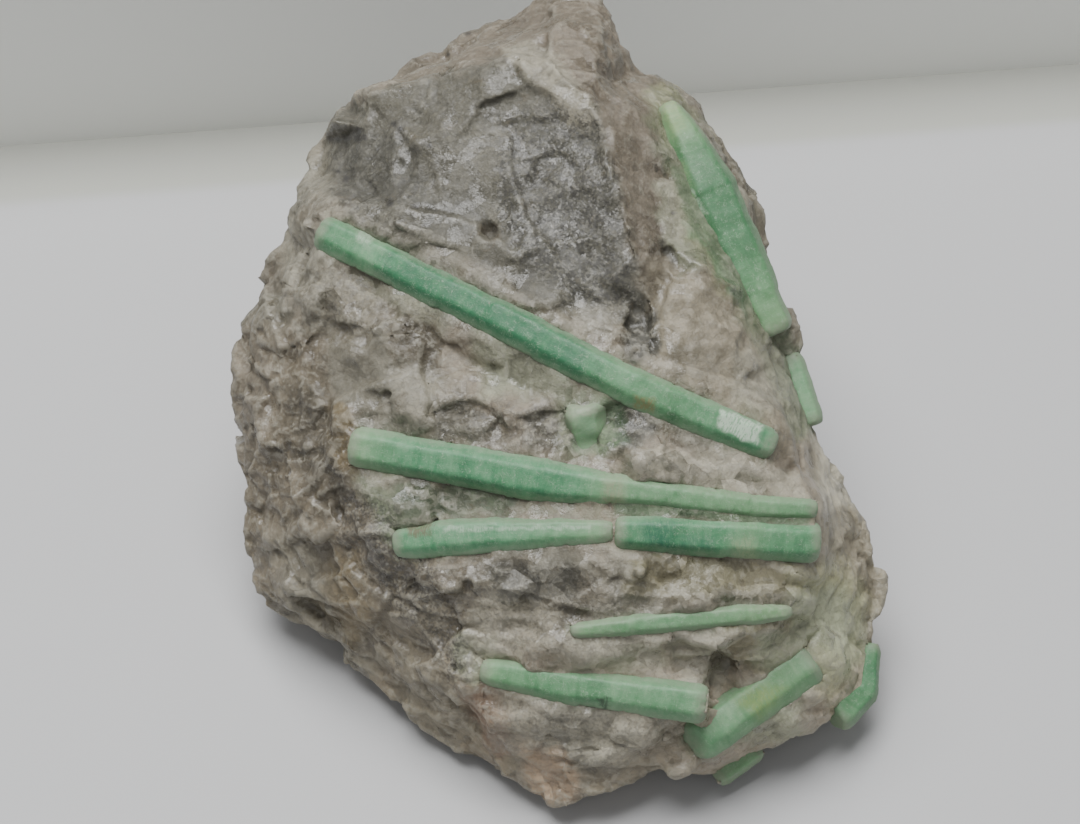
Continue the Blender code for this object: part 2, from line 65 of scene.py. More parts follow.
def moved(points, matrix):
    # rows of points through a 4 x 4 matrix
    turn = np.array(matrix)
    return points @ turn[:3, :3].T + turn[:3, 3]


def sightOf(points):
    return points[:, :2] * (face["eye"] / (face["eye"] - points[:, 2:3]))


def smoothStep(low, high, values):
    share = np.clip((values - low) / (high - low), 0, 1)
    return share * share * (3 - 2 * share)


def fieldNoise(points, size, detail=2, shift=0.0):
    # smooth noise of about -1 to 1 at rows of points, its features this many millimetres across
    shifted = Vector((shift, shift, shift))
    return np.array([noise.fractal(Vector(p) / size + shifted, 1.0, 2.0, detail) for p in points])


def readRows(mesh, name):
    rows = np.empty(len(mesh.vertices) * 3)
    mesh.vertices.foreach_get(name, rows)
    return rows.reshape(-1, 3)


def leaning(normals):
    # normals as (u, v, w)
    return normals @ np.array(faceToWorld)[:3, :3] / mm


def writePoints(mesh, points):
    mesh.vertices.foreach_set("co", points.astype(np.float32).ravel())
    mesh.update()


def storeValues(mesh, name, values):
    attribute = mesh.attributes.new(name, "FLOAT", "POINT")
    attribute.data.foreach_set("value", values.astype(np.float32))


def storeVectors(mesh, name, rows):
    attribute = mesh.attributes.new(name, "FLOAT_VECTOR", "POINT")
    attribute.data.foreach_set("vector", rows.astype(np.float32).ravel())


def storeColours(mesh, name, rows):
    attribute = mesh.attributes.new(name, "FLOAT_COLOR", "POINT")
    colours = np.column_stack([rows, np.ones(len(rows))])
    attribute.data.foreach_set("color", colours.astype(np.float32).ravel())


def insideOutline(outline, sights):
    inside = np.zeros(len(sights), bool)
    for (u0, v0), (u1, v1) in zip(outline, outline[1:] + outline[:1]):
        if v0 == v1:
            continue
        crosses = (v0 > sights[:, 1]) != (v1 > sights[:, 1])
        inside ^= crosses & (sights[:, 0] < u0 + (sights[:, 1] - v0) / (v1 - v0) * (u1 - u0))
    return inside


def lineDistance(line, sights):
    # the distance of each sight from an open line of (u, v) points
    nearest = np.full(len(sights), 1e9)
    for start, end in zip(line, line[1:]):
        start, end = np.array(start, float), np.array(end, float)
        along = end - start
        share = np.clip((sights - start) @ along / (along @ along), 0, 1)
        nearest = np.minimum(nearest, np.linalg.norm(sights - start - share[:, None] * along, axis=1))
    return nearest


def patchShare(outline, soft, sights):
    # 1 well inside an outline, 0 well outside it
    depth = lineDistance(outline + outline[:1], sights)
    signed = np.where(insideOutline(outline, sights), depth, -depth)
    return smoothStep(-soft / 2, soft / 2, signed)


# Shader maths


class Wire:
    # an output socket that takes part in Python expressions
    def __init__(self, socket):
        self.socket = socket
        self.tree = socket.id_data

    def math(self, operation, *others):
        return node(self.tree, "Math", {"operation": operation}, (self, *others))

    def __add__(self, other):
        return self.math("ADD", other)

    def __sub__(self, other):
        return self.math("SUBTRACT", other)

    def __rsub__(self, other):
        return node(self.tree, "Math", {"operation": "SUBTRACT"}, (other, self))

    def __mul__(self, other):
        return self.math("MULTIPLY", other)

    __radd__ = __add__
    __rmul__ = __mul__

    def step(self, low, high, toLow=0.0, toHigh=1.0):
        # a smooth step from toLow to toHigh as the value goes from low to high
        values = (self, low, high, toLow, toHigh)
        return node(self.tree, "MapRange", {"interpolation_type": "SMOOTHSTEP"}, values, "Result")

    def other(self, name):
        # another output of the same node
        return Wire(self.socket.node.outputs[name])


def node(tree, kind, settings=None, values=(), output=0):
    # a node of this kind, its settings first, then its sockets in order or by name, and one of its outputs
    made = tree.nodes.new("ShaderNode" + kind)
    for key, value in (settings or {}).items():
        if key == "stops":
            elements = made.color_ramp.elements
            while len(elements) < len(value):
                elements.new(1.0)
            for element, (place, colour) in zip(elements, value):
                element.position = place
                element.color = (*colour, 1.0)
        else:
            setattr(made, key, value)
    pairs = values.items() if isinstance(values, dict) else enumerate(values)
    for key, value in pairs:
        if isinstance(value, Wire):
            tree.links.new(value.socket, made.inputs[key])
        else:
            made.inputs[key].default_value = value
    return Wire(made.outputs[output])


def mixColours(tree, share, first, second, blend="MIX"):
    # colours are wires or (r, g, b)
    values = {0: share, 6: first, 7: second}
    values = {key: (*value, 1.0) if isinstance(value, tuple) else value for key, value in values.items()}
    return node(tree, "Mix", {"data_type": "RGBA", "blend_type": blend}, values, 2)


def vectorMath(tree, operation, *values, output=0):
    return node(tree, "VectorMath", {"operation": operation}, values, output)


def attribute(tree, name, output="Fac"):
    return node(tree, "Attribute", {"attribute_name": name}, (), output)


def newMaterial(name, fixed):
    material = bpy.data.materials.new(name)
    material.use_nodes = True
    shader = material.node_tree.nodes["Principled BSDF"]
    for key, value in fixed.items():
        shader.inputs[key].default_value = value
    return material, material.node_tree, shader


def feed(shader, name, wire):
    wire.tree.links.new(wire.socket, shader.inputs[name])


def newMesh(name, bm):
    mesh = bpy.data.meshes.new(name)
    bm.to_mesh(mesh)
    bm.free()
    return mesh


def newObject(name, data):
    made = bpy.data.objects.new(name, data)
    bpy.context.scene.collection.objects.link(made)
    return made


def newPiece(name, mesh, material, slot, *nodes):
    piece = newObject(name, mesh)
    mesh.materials.clear()
    mesh.materials.append(material)
    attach(piece, "root")
    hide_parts(*nodes)
    return piece


# The quartz

quartz = {
    "voxel": 0.32,  # of the fine surface, mm
    "seed": 23,
    "swell": 1.0,  # of the crystals while they are joined with the quartz, mm
    "touch": 0.12,  # how far the quartz reaches into a crystal that it grew round, mm
    "near": 1.15,  # nearer to a crystal than this the quartz touches it, mm
    "far": 2.1,  # further off than this the quartz is left alone, mm
    "raised": (0.9, 4.2, 2.6),  # beside a crystal it rises: fully to, no more from, at most, mm
    "bank": (0.12, 3.4),  # height of the quartz heaped against the crystals, and its reach, mm
    "lap": (0.42, 1.9),  # thickness of the flakes that lap up their sides, and size of the flakes, mm
    "lapSides": (0.25, 0.6),  # how far round towards the face a side turns before no flake laps over it
    "chips": (  # spacing mm, slope, step mm, scoop mm, width of the break between two chips mm
        (5.6, 0.16, 0.26, 0.05, 0.40),
        (2.6, 0.16, 0.10, 0.03, 0.28),
        (1.3, 0.16, 0.04, 0.02, 0.22),
    ),
    "stretch": (1.5, 1.6),  # of the chips to the right, and how much more in the lower half
    "longest": 0.85,  # edges drawn longer than this are evened out, mm
    "relaxing": 8,  # rounds of that
    "grit": 0.03,  # of the finest unevenness, mm
    "level": 0.08,  # share of the chips' relief that is left where the quartz touches a crystal
    "evened": 0.4,  # share of it that is left at least where faces were evened out
    "flat": 0.7,  # share of it that smooth facets lose
    "backShare": 0.15,  # of the triangles that is kept behind the face
    "blur": 0.8,  # how far the borders of the patches wander, mm
    "ground": (11.0, 7.0),  # size of the rose and grey areas under the patches, and of the brown ones, mm
    "browned": 0.6,  # strength of the brown
    "toneAndLightByHeight": (  # height on the face in mm, brightness: painted light and shade that even out the lamp's fall over the face, mixed with the rock's own tone
        (-38, 0.95), (-25, 0.85), (-12, 0.72), (0, 0.63), (15, 0.56), (35, 0.62),
    ),
    "rightEdgeToneAndLight": (24.0, 30.0, 1.45),  # from, to, times brighter: painted light on the right flank, mixed with the rock's own tone
    "cast": (0.96, 0.93, 0.83),
}

# Albedos of the quartz's tones.
tones = {
    "rose": (0.34, 0.30, 0.25),
    "taupe": (0.245, 0.225, 0.18),
    "grey": (0.245, 0.235, 0.20),
    "slate": (0.16, 0.157, 0.135),
    "milk": (0.43, 0.41, 0.35),
    "beige": (0.38, 0.345, 0.275),
    "brown": (0.22, 0.19, 0.145),
    "smoke": (0.125, 0.11, 0.085),
    "honey": (0.24, 0.195, 0.12),
    "rust": (0.215, 0.145, 0.105),
    "olive": (0.26, 0.245, 0.165),
    "lime": (0.33, 0.345, 0.205),
    "moss": (0.15, 0.22, 0.14),
    "salmon": (0.34, 0.25, 0.18),
    "sage": (0.32, 0.35, 0.265),
    "ash": (0.155, 0.15, 0.127),
    "clay": (0.225, 0.195, 0.16),
    "lead": (0.105, 0.103, 0.09),
    "fern": (0.10, 0.125, 0.085),
    "chalk": (0.58, 0.56, 0.48),
    "jade": (0.085, 0.25, 0.11),
}

# Patches of tone on the face side: tone, strength, border in mm, outline by sight. Later ones lie on top.
patches = [
    ("clay", 1.0, 3.0, [(-16, 33.5), (-9, 38), (1, 42), (8, 42), (11, 35), (6, 30.4), (2, 33),
                        (-8, 34.3)]),
    ("clay", 0.9, 2.5, [(5.6, 31), (10, 35.5), (13, 31), (11.5, 26), (12, 21), (13, 15), (11.5, 8),
                        (9, 16)]),
    ("beige", 0.9, 3.0, [(11.5, 15), (16, 15), (21, 11), (26, 2), (27, -3), (22, -5), (16, 1), (10, 3),
                         (10, 7)]),
    ("taupe", 0.9, 2.5, [(18, 33), (22, 24), (28, 10), (34, -5), (36, -20), (30, -20), (28, -6), (25, 5),
                         (20, 19)]),
    ("ash", 1.0, 1.2, [(-21, 29.7), (-17, 32.2), (-12, 33.4), (-8, 34.3), (-3.3, 35.5), (2, 33.2),
                       (5.4, 30.7), (6.5, 27), (9, 16), (11.5, 8.2), (6, 8.2), (-1, 11.2), (-6, 15.7),
                       (-14, 19.7), (-20, 21.2), (-22.8, 22.7)]),
    ("slate", 0.75, 1.2, [(-19.5, 27.7), (-15.5, 28), (-12.8, 25.2), (-11.5, 20.7), (-17.5, 20.7),
                          (-20.5, 24)]),
    ("grey", 0.35, 2.5, [(-12, 27.7), (-8, 29.4), (-4, 28.7), (-2, 26.2), (-3.5, 22.7), (-7.5, 22.2),
                         (-11, 23.2)]),
    ("slate", 0.25, 3.0, [(-4, 30), (2, 31), (6, 29), (7.5, 23), (9, 15), (10, 10), (4, 11), (-2, 15),
                          (-4.5, 22)]),
    ("milk", 0.9, 1.0, [(-4, 36.2), (-1.5, 37), (2, 35.5), (4, 33), (5.8, 29.5), (5, 28), (3, 29.2),
                        (0.5, 31.7)]),
    ("milk", 0.55, 1.5, [(-22.5, 27), (-20.5, 26.5), (-20, 22.5), (-21, 19.5), (-23.5, 20), (-24, 24)]),
    ("grey", 0.8, 1.2, [(-20.5, 20.5), (-14, 20.8), (-9, 19.8), (-4.5, 20.7), (-4, 18.5), (-8, 16.5),
                        (-13, 17)]),
    ("sage", 0.8, 1.0, [(11.5, 22.5), (13, 22.8), (15.5, 19.5), (16.8, 15.2), (14, 13.8), (12.5, 16),
                        (11.6, 19)]),
    ("slate", 1.0, 0.5, [(11.7, 17.2), (12.4, 17.5), (13.9, 15.7), (13.4, 14.4), (12.2, 15.4)]),
    ("lime", 0.55, 1.5, [(10.5, 32), (12.5, 33), (15.5, 30), (15, 27), (12.5, 26.5), (11.5, 29)]),
    ("taupe", 0.8, 1.2, [(12.5, 7), (16, 7.2), (18.3, 5.2), (17.5, 2.7), (13.3, 3.2)]),
    ("sage", 0.5, 1.5, [(20, 5.5), (22.5, 5), (23, 0), (21, -2), (19.5, 1.5)]),
    ("brown", 0.6, 1.5, [(23, 5), (25.3, 3.5), (26.3, -2), (24.5, -4), (22.8, 0)]),
    ("smoke", 0.9, 0.7, [(9, 9.8), (11.2, 10.4), (11.6, 7), (9.6, 4.3), (8, 5.2), (8, 7.6)]),
    ("milk", 0.6, 1.5, [(2, 10.5), (8, 11), (8.5, 8.5), (4, 7), (0, 9)]),
    ("rose", 0.8, 2.0, [(-12, 11.2), (-5, 9), (2, 6.7), (8, 3.2), (5, 1), (-1, -0.8), (-4, 0), (-8, 2),
                        (-13, 7)]),
    ("slate", 0.7, 0.9, [(-11, 0.8), (-8, 1.8), (-5, -0.5), (-4, -2.5), (-7, -3), (-10.5, -2.7)]),
    ("slate", 0.7, 0.9, [(-2, -0.2), (1.2, 1), (3, 0), (2.6, -3.2), (-1, -3.6)]),
    ("slate", 1.0, 1.2, [(7, 0), (10, 0.2), (12, -1.5), (9, -4), (6.5, -3)]),
    ("milk", 0.85, 0.9, [(-15, 4), (-12.5, 4.8), (-10.5, 3), (-11.5, -1), (-14.5, -0.6)]),
    ("grey", 0.9, 1.2, [(-21, 8), (-15.5, 8), (-14.6, 3), (-15, -0.5), (-19, 0), (-21.5, 3)]),
    ("smoke", 0.6, 1.0, [(-15, 9.5), (-11.5, 9), (-10.8, 5.5), (-14.5, 5)]),
    ("taupe", 0.9, 1.5, [(-25, 13.5), (-20, 14.7), (-16, 13.5), (-15.5, 9.5), (-18, 7.3), (-24, 8)]),
    ("rose", 0.8, 2.0, [(-27, 17), (-22, 20), (-19.5, 17), (-18, 14.5), (-22, 14.6), (-26, 12.5)]),
    ("sage", 0.5, 1.5, [(-19, 14.8), (-14, 12.5), (-8, 9.5), (-10, 7.5), (-14, 10.2), (-18, 13)]),
    ("brown", 0.85, 4.0, [(-31, 9), (-24, 8), (-20, -1), (-18, -7), (-12, -14), (-7, -20), (-5, -28),
                          (-1, -38), (-12, -36), (-28, -24), (-36, 0)]),
    ("rose", 0.5, 2.5, [(-30.5, 9), (-27, 9), (-26.5, 0), (-28, -6), (-31.5, -6), (-32, 2)]),
    ("grey", 0.6, 3.0, [(-27, -12), (-22, -13), (-19, -20), (-15, -25), (-18, -28), (-26, -21)]),
    ("smoke", 0.85, 2.2, [(-24.5, 3), (-21.5, 2), (-20, -3), (-18.7, -8), (-19.5, -11), (-22.5, -10),
                          (-25, -3)]),
    ("smoke", 0.75, 2.0, [(-20.5, -8), (-16, -9.5), (-12, -15), (-8.5, -19), (-7.5, -23), (-10, -25),
                          (-14, -20), (-18, -14)]),
    ("honey", 0.7, 2.5, [(-21.5, -13), (-18, -14), (-17, -20), (-18.5, -23.5), (-21, -20)]),
    ("rust", 0.8, 1.6, [(-8, -25), (-5, -24.5), (-3.5, -29), (-2.5, -34), (-4.5, -35), (-7.5, -30)]),
    ("taupe", 0.7, 2.0, [(-14, -24), (-9.5, -26), (-6, -32), (-9, -34), (-14, -30)]),
    ("honey", 0.9, 1.0, [(-21.5, 0.5), (-19, 1), (-18, -2), (-18.5, -6.5), (-21, -5)]),
    ("moss", 0.6, 1.8, [(-18.8, -6), (-14, -8), (-8, -8.2), (-9, -10.2), (-12, -11), (-12, -14.5),
                        (-16, -12)]),
    ("smoke", 0.65, 2.0, [(-11, -14.6), (-4, -15), (2, -15.5), (6, -16), (5, -20), (0, -21), (-5, -19),
                          (-9, -18)]),
    ("milk", 0.55, 1.5, [(-5, -18), (0, -18.5), (2.5, -21.5), (0, -24), (-5, -23.5), (-7.5, -21)]),
    ("sage", 0.8, 1.2, [(-8, -22.5), (-4.5, -22.5), (-4, -26), (-7, -28), (-8.5, -26)]),
    ("milk", 1.0, 1.5, [(2.5, -21.5), (8, -21), (12, -22), (13.5, -25.8), (9, -25.6), (3, -24.5)]),
    ("grey", 0.9, 0.9, [(13, -21.8), (16, -21.2), (18.3, -22.3), (19.3, -24.8), (18, -27.6), (15, -27),
                        (13.2, -25)]),
    ("olive", 0.75, 1.5, [(8, -14.5), (18, -14.2), (26, -15.5), (28, -18.5), (20, -18.6), (9, -18.2)]),
    ("olive", 0.6, 1.5, [(17, -20.6), (25, -20.8), (27, -25), (22, -26.5), (18.5, -24)]),
    ("lime", 0.75, 3.0, [(25, -16.5), (30, -15), (33, -19), (32, -25), (29, -29), (26.5, -26),
                         (25, -21)]),
    ("grey", 0.6, 1.8, [(-5, -27.5), (2, -28.5), (10, -29.8), (15.5, -31), (14, -33.5), (5, -34.5),
                        (-2, -33)]),
    ("salmon", 0.8, 1.6, [(-2, -33), (1.5, -33.5), (4.5, -36.5), (3, -39.5), (-1, -38.5)]),
    ("brown", 0.55, 1.5, [(4.5, -35.5), (10, -33.5), (14.5, -32.5), (12, -37), (5, -38.5)]),
    ("milk", 0.75, 0.8, [(22.6, -5.8), (25.8, -6.2), (27.2, -8.8), (23.5, -8.6)]),
    ("milk", 0.9, 1.5, [(8, -4.5), (14, -4), (22, -5.5), (22.5, -8), (14, -7), (8, -6.3)]),
    ("lead", 0.75, 1.5, [(-20.5, 28), (-13, 28), (-11.5, 24), (-12, 20.5), (-20, 20.5), (-21.5, 24)]),
    ("lead", 0.6, 2.0, [(-4, 28), (1, 29.5), (6, 28), (7.4, 22), (8.6, 15), (9.4, 10.5), (4, 11),
                        (-1.5, 14.5), (-3.5, 21)]),
    ("lead", 0.6, 1.0, [(-12.5, 21.2), (-6, 20.8), (-4.6, 18.6), (-8, 17), (-12.5, 18)]),
    ("ash", 0.6, 1.0, [(-19.5, 20.6), (-12, 21), (-11.5, 18.8), (-18.5, 18.2)]),
    ("smoke", 0.75, 1.0, [(-15.5, 9), (-10.6, 8.8), (-10, 4.2), (-14.6, 4)]),
    ("lead", 0.8, 1.0, [(8.5, 9.6), (11.6, 9.6), (11.8, 5.4), (9.2, 4.6)]),
    ("lead", 0.8, 1.0, [(6.6, 1), (10.4, 1.2), (11.4, -2.6), (7, -3.2)]),
    ("fern", 0.85, 1.0, [(-14.6, -7.2), (-6, -7.2), (-2, -8.4), (-4, -10.4), (-14, -10.4)]),
    ("lead", 0.75, 1.4, [(-5.6, -15), (3.4, -15), (4, -19), (-3.6, -19.4)]),
    ("smoke", 0.5, 1.4, [(-25, -5), (-20.6, -5), (-20.6, 1.8), (-24.6, 1.8)]),
    ("sage", 0.75, 2.0, [(-6.8, 8.8), (1.6, 8.6), (3, 2.4), (-5.6, 1.6)]),
    ("chalk", 0.3, 2.0, [(-6.8, 8.8), (1.6, 8.6), (3, 2.4), (-5.6, 1.6)]),
    ("grey", 0.5, 1.5, [(-16, 4.8), (-10.8, 5), (-10.6, -1), (-15, -1)]),
    ("milk", 0.65, 2.0, [(-26, 18.6), (-20.6, 18.6), (-20.6, 12.8), (-25.6, 12.6)]),
    ("milk", 0.45, 2.0, [(-24.5, 12.4), (-17.5, 12.6), (-17, 7.6), (-23.5, 7.6)]),
    ("milk", 0.7, 1.6, [(15.5, -3.4), (22.8, -3.6), (23, -7.6), (15.5, -7.4)]),
    ("milk", 0.6, 1.2, [(9.6, -3.6), (14.4, -3.6), (14.4, -7), (9.6, -7)]),
    ("chalk", 0.7, 1.4, [(27.2, -2.2), (30.8, -2.6), (32.4, -9.4), (28.6, -9.6)]),
    ("chalk", 0.6, 1.4, [(4.6, -22.4), (12, -22.4), (12, -26), (4.6, -26)]),
    ("milk", 0.6, 1.4, [(-7, -22.4), (-1.6, -22.4), (-1.6, -25), (-7, -25)]),
    ("milk", 0.7, 1.0, [(13.4, -22), (18.8, -22.4), (18.8, -27.2), (13.8, -27)]),
    ("sage", 0.7, 2.0, [(19.6, -29.4), (26.4, -29.4), (26, -33), (20, -33)]),
    ("sage", 0.8, 1.4, [(21.4, -22), (26.6, -22), (26.6, -25.4), (21.4, -25.4)]),
    ("milk", 0.8, 1.4, [(19.4, 5.8), (25.4, 5.6), (25.6, 0.8), (19.6, 0.8)]),
    ("sage", 0.6, 1.0, [(-17.2, -4.4), (-13.6, -4.2), (-13.6, -6.4), (-17, -6.4)]),
    ("jade", 1.0, 0.7, [(13, 24.5), (14.3, 20.4), (16, 16.2), (18.5, 12), (22.4, 8.3), (23.6, 9),
                        (21.4, 14), (19.2, 19), (16, 25)]),
    ("lime", 0.45, 1.0, [(12.4, 24.5), (13.6, 20.4), (15.4, 16), (18, 11.6), (21.8, 7.4), (22.6, 8.4),
                         (18.6, 12.4), (16.2, 16.6), (14.4, 20.8), (13.4, 24.5)]),
    ("lead", 0.95, 1.0, [(9.2, 9.6), (11.8, 9.4), (11.6, 6), (9.6, 4.8), (8.2, 6)]),
    ("milk", 0.15, 2.0, [(-15, -18), (-9.6, -18), (-9.6, -25), (-15, -25)]),
    ("milk", 0.25, 1.6, [(-5, -28), (-0.4, -28), (-0.4, -34), (-5, -34)]),
    ("milk", 0.4, 1.6, [(5.4, -30.4), (10.6, -30.4), (10.6, -35), (5.4, -35)]),
    ("sage", 0.8, 1.6, [(25, -18), (30.6, -18), (30.6, -23.4), (25, -23.4)]),
    ("chalk", 0.3, 1.6, [(-25.4, 18.6), (-20.6, 18.6), (-20.6, 12.8), (-25.4, 12.8)]),
    ("lead", 0.35, 1.2, [(-12.5, 21.2), (-6, 20.8), (-4.6, 18.6), (-8, 17), (-12.5, 18)]),
    ("sage", 0.5, 2.0, [(25, -18), (31, -17), (33, -22), (31, -27), (26, -26)]),
    ("moss", 0.55, 1.2, [(20.6, 14.5), (22.8, 14), (26.6, 5), (27.6, -2), (25.6, -3), (24, 4),
                         (21.6, 10)]),
    ("milk", 0.6, 1.5, [(-26, 18.5), (-22.5, 19.5), (-19.8, 17), (-20.5, 13.4), (-24, 12.8),
                        (-26.5, 15)]),
    ("sage", 0.5, 2.0, [(-7, 7), (-2, 8), (3, 4), (2.5, 1.5), (-4, 1.5)]),
    ("smoke", 0.9, 0.6, [(-6, 19), (-4.4, 19.2), (-4, 17.4), (-5.6, 17)]),
    ("milk", 0.55, 1.5, [(19.5, 5.6), (24, 6), (26, 2), (23.5, 0.5), (20.5, 1)]),
    ("milk", 0.45, 1.2, [(11.6, 22.6), (13, 23), (15.5, 19.5), (14.5, 16.4), (12, 17.6)]),
    ("moss", 0.9, 0.6, [(7.5, -8.8), (16, -9.6), (27, -10.2), (27, -11.6), (15, -10.8), (7.5, -10.3)]),
    ("sage", 0.8, 1.6, [(1.8, 2.6), (7, 2.6), (7.6, -4.4), (1.6, -4.4)]),
    ("moss", 0.35, 0.8, [(3.2, 1.4), (6, 1), (5.4, -2.6), (3.4, -2.4)]),
    ("jade", 0.38, 1.0, [(5.2, 1.6), (8.6, 0.8), (8.4, -2.8), (5.6, -4.2), (3, -3.6)]),
    ("sage", 0.7, 1.4, [(10.8, 32), (13.8, 32.4), (17.6, 27), (21.4, 19), (24, 10.5), (26.8, 0),
                        (25, -2.5), (22, 5.5), (18, 13.5), (14.4, 20), (11.8, 26)]),
    ("lime", 0.5, 1.0, [(11, 32.5), (13.4, 32.8), (15.6, 29), (14.4, 26), (12, 27.5)]),
]

# Sugary grain shows in these, with its strength and border.
sugarPatches = [
    (1.0, 2.5, [(-4.5, 30), (2, 31.5), (6, 29.5), (7.4, 23), (9, 15), (10, 9.5), (4, 10.5), (-2, 14),
                (-5, 21)]),
    (0.45, 3.0, [(-20, 28), (-12, 33), (-4, 34), (-5, 22), (-12, 17), (-20, 20)]),
    (0.5, 2.0, [(-25, 13.5), (-20, 14.7), (-16, 13.5), (-15.5, 9.5), (-18, 7.3), (-24, 8)]),
    (0.55, 2.0, [(-16, 14), (-8, 11), (2, 6), (4, 3), (-4, 7), (-12, 9)]),
    (0.6, 1.5, [(-11, 0.8), (-8, 1.8), (3, 0), (12, -1.5), (9, -4), (-10.5, -2.7)]),
    (0.9, 2.5, [(-20.5, -7), (-15, -9), (-8, -18), (-6, -26), (-9, -28), (-13, -22), (-21, -13)]),
    (0.25, 1.2, [(13, -21.8), (16, -21.2), (18.3, -22.3), (19.3, -24.8), (18, -27.6), (15, -27),
                 (13.2, -25)]),
    (0.5, 3.0, [(-12, -14.5), (6, -15.5), (12, -24), (-4, -24), (-10, -20)]),
    (0.5, 3.0, [(-5, -28), (14, -31), (8, -36), (-3, -34)]),
]

# Smooth broken facets, where the chips are shallow, with their strength and border.
smoothPatches = [
    (0.85, 2.0, [(5.6, 31), (10, 35.5), (13, 31), (11.5, 26), (12, 21), (13, 15), (11.5, 8), (9, 16)]),
    (0.75, 2.0, [(11.5, 22.5), (13, 22.8), (16.8, 15.2), (22, 5), (18, 2), (12, 3), (11.6, 14)]),
    (0.9, 2.0, [(-21, 29.7), (-12, 33.4), (-3.3, 35.5), (5.4, 30.7), (9, 16), (11.5, 8.2), (-1, 11.2),
                (-14, 19.7), (-22.8, 22.7)]),
    (0.8, 1.0, [(-21, 8), (-15.5, 8), (-14.6, 3), (-15, -0.5), (-19, 0), (-21.5, 3)]),
    (0.8, 1.0, [(-15, 4), (-12.5, 4.8), (-10.5, 3), (-11.5, -1), (-14.5, -0.6)]),
    (0.5, 2.0, [(-12, 11.2), (-5, 9), (8, 3.2), (-1, -0.8), (-8, 2)]),
    (0.5, 2.0, [(-16, 33.5), (-9, 38), (1, 42), (8, 42), (11, 35), (6, 30.4), (2, 33), (-8, 34.3)]),
    (0.6, 2.0, [(25, -16.5), (30, -15), (33, -19), (32, -25), (29, -29), (26.5, -26), (25, -21)]),
    (0.85, 2.0, [(17, 9), (23, 9), (28, 0), (31, -9), (29, -16), (26, -14), (22, -6), (17, -2)]),
    (0.9, 1.0, [(13, 25), (14.3, 20.4), (16, 16.2), (18.5, 12), (22.4, 8.3), (25, 9), (22, 16),
                (18, 25)]),
]

# Small hollows: sight, radius and depth in mm.
pits = [
    (-5.2, 18.1, 1.0, 1.1), (12.8, 16.0, 0.7, 0.5), (-15.4, 1.7, 0.5, 0.6), (-15.2, 0.8, 0.45, 0.5),
    (-0.2, -2.2, 0.5, 0.6), (-20.3, -10.5, 0.9, 0.6), (-24.5, -9, 0.7, 0.5),
    (-12.5, -17.5, 0.9, 0.7), (-8.2, -25.8, 0.8, 0.7), (17.8, -24.5, 0.8, 0.6), (-7.2, -17.4, 0.7, 0.9),
    (-10.4, -10.2, 0.8, 0.6), (19, 16, 0.3, 0.2), (3.2, -9.1, 0.5, 0.5), (6.8, -9.3, 0.5, 0.5),
]

# Dark specks of mica: sight and radius in mm.
specks = [
    (-14.6, 28.8, 0.35), (-13.9, 28.3, 0.3), (-18.2, 27.3, 0.4), (-17.6, 27.5, 0.3), (-19.4, 23.3, 0.35),
    (-20.2, 24.1, 0.25), (-7.2, 37.9, 0.3), (-9.2, 35.8, 0.2), (-15, 20.9, 0.4), (-12.4, 20.6, 0.3),
    (13.3, 19.9, 0.25), (-16.3, 26.3, 0.2), (-11, 26.6, 0.2), (22.8, -19.8, 0.2),
]


def mergedSolid(source, swell=0.0):
    # the node's solid as one closed mesh, swollen by this many metres
    bm = bmesh.new()
    bm.from_mesh(source.data)
    bmesh.ops.remove_doubles(bm, verts=bm.verts, dist=1e-6)
    bm.normal_update()
    for vert in bm.verts:
        vert.co += vert.normal * swell
    return bm


def joinedMesh(solids, name):
    joined = bmesh.new()
    for bm in solids:
        part = newMesh(name + "Part", bm)
        joined.from_mesh(part)
        bpy.data.meshes.remove(part)
    return newMesh(name, joined)


def evaluatedMesh(obj):
    bpy.context.view_layer.update()
    graph = bpy.context.evaluated_depsgraph_get()
    return bpy.data.meshes.new_from_object(obj.evaluated_get(graph))


def remeshed(mesh, voxel):
    # an even fine mesh over the closed ones, whose inner walls go
    helper = newObject("quartzHelper", mesh)
    remesh = helper.modifiers.new("fine", "REMESH")
    remesh.mode = "VOXEL"
    remesh.voxel_size = voxel * mm
    fine = evaluatedMesh(helper)
    bpy.data.objects.remove(helper)
    return fine


def edgeEnds(mesh):
    ends = np.empty(len(mesh.edges) * 2, np.int32)
    mesh.edges.foreach_get("vertices", ends)
    return ends.reshape(-1, 2)


def outerShell(mesh):
    # the shell with the most points, without those closed up inside it
    ends = edgeEnds(mesh)
    label = np.arange(len(mesh.vertices))
    while True:
        low = np.minimum(label[ends[:, 0]], label[ends[:, 1]])
        new = label.copy()
        np.minimum.at(new, ends[:, 0], low)
        np.minimum.at(new, ends[:, 1], low)
        new = new[new]
        if np.array_equal(new, label):
            break
        label = new
    kept = np.bincount(label).argmax()
    bm = bmesh.new()
    bm.from_mesh(mesh)
    bm.verts.ensure_lookup_table()
    loose = [bm.verts[i] for i in np.flatnonzero(label != kept)]
    bmesh.ops.delete(bm, geom=loose, context="VERTS")
    bm.to_mesh(mesh)
    bm.free()


def relaxed(mesh, points, values):
    # evens out faces that are drawn long between two crystals, and gives 1 for each of their points
    ends = edgeEnds(mesh)
    lengths = np.linalg.norm(points[ends[:, 0]] - points[ends[:, 1]], axis=1)
    marked = np.zeros(len(points))
    marked[ends[lengths > values["longest"] * mm].ravel()] = 1.0
    for _ in range(2):
        grown = marked.copy()
        np.maximum.at(grown, ends[:, 0], marked[ends[:, 1]])
        np.maximum.at(grown, ends[:, 1], marked[ends[:, 0]])
        marked = grown
    for _ in range(values["relaxing"]):
        points += (neighbourMeans(points, ends) - points) * marked[:, None]
    return marked


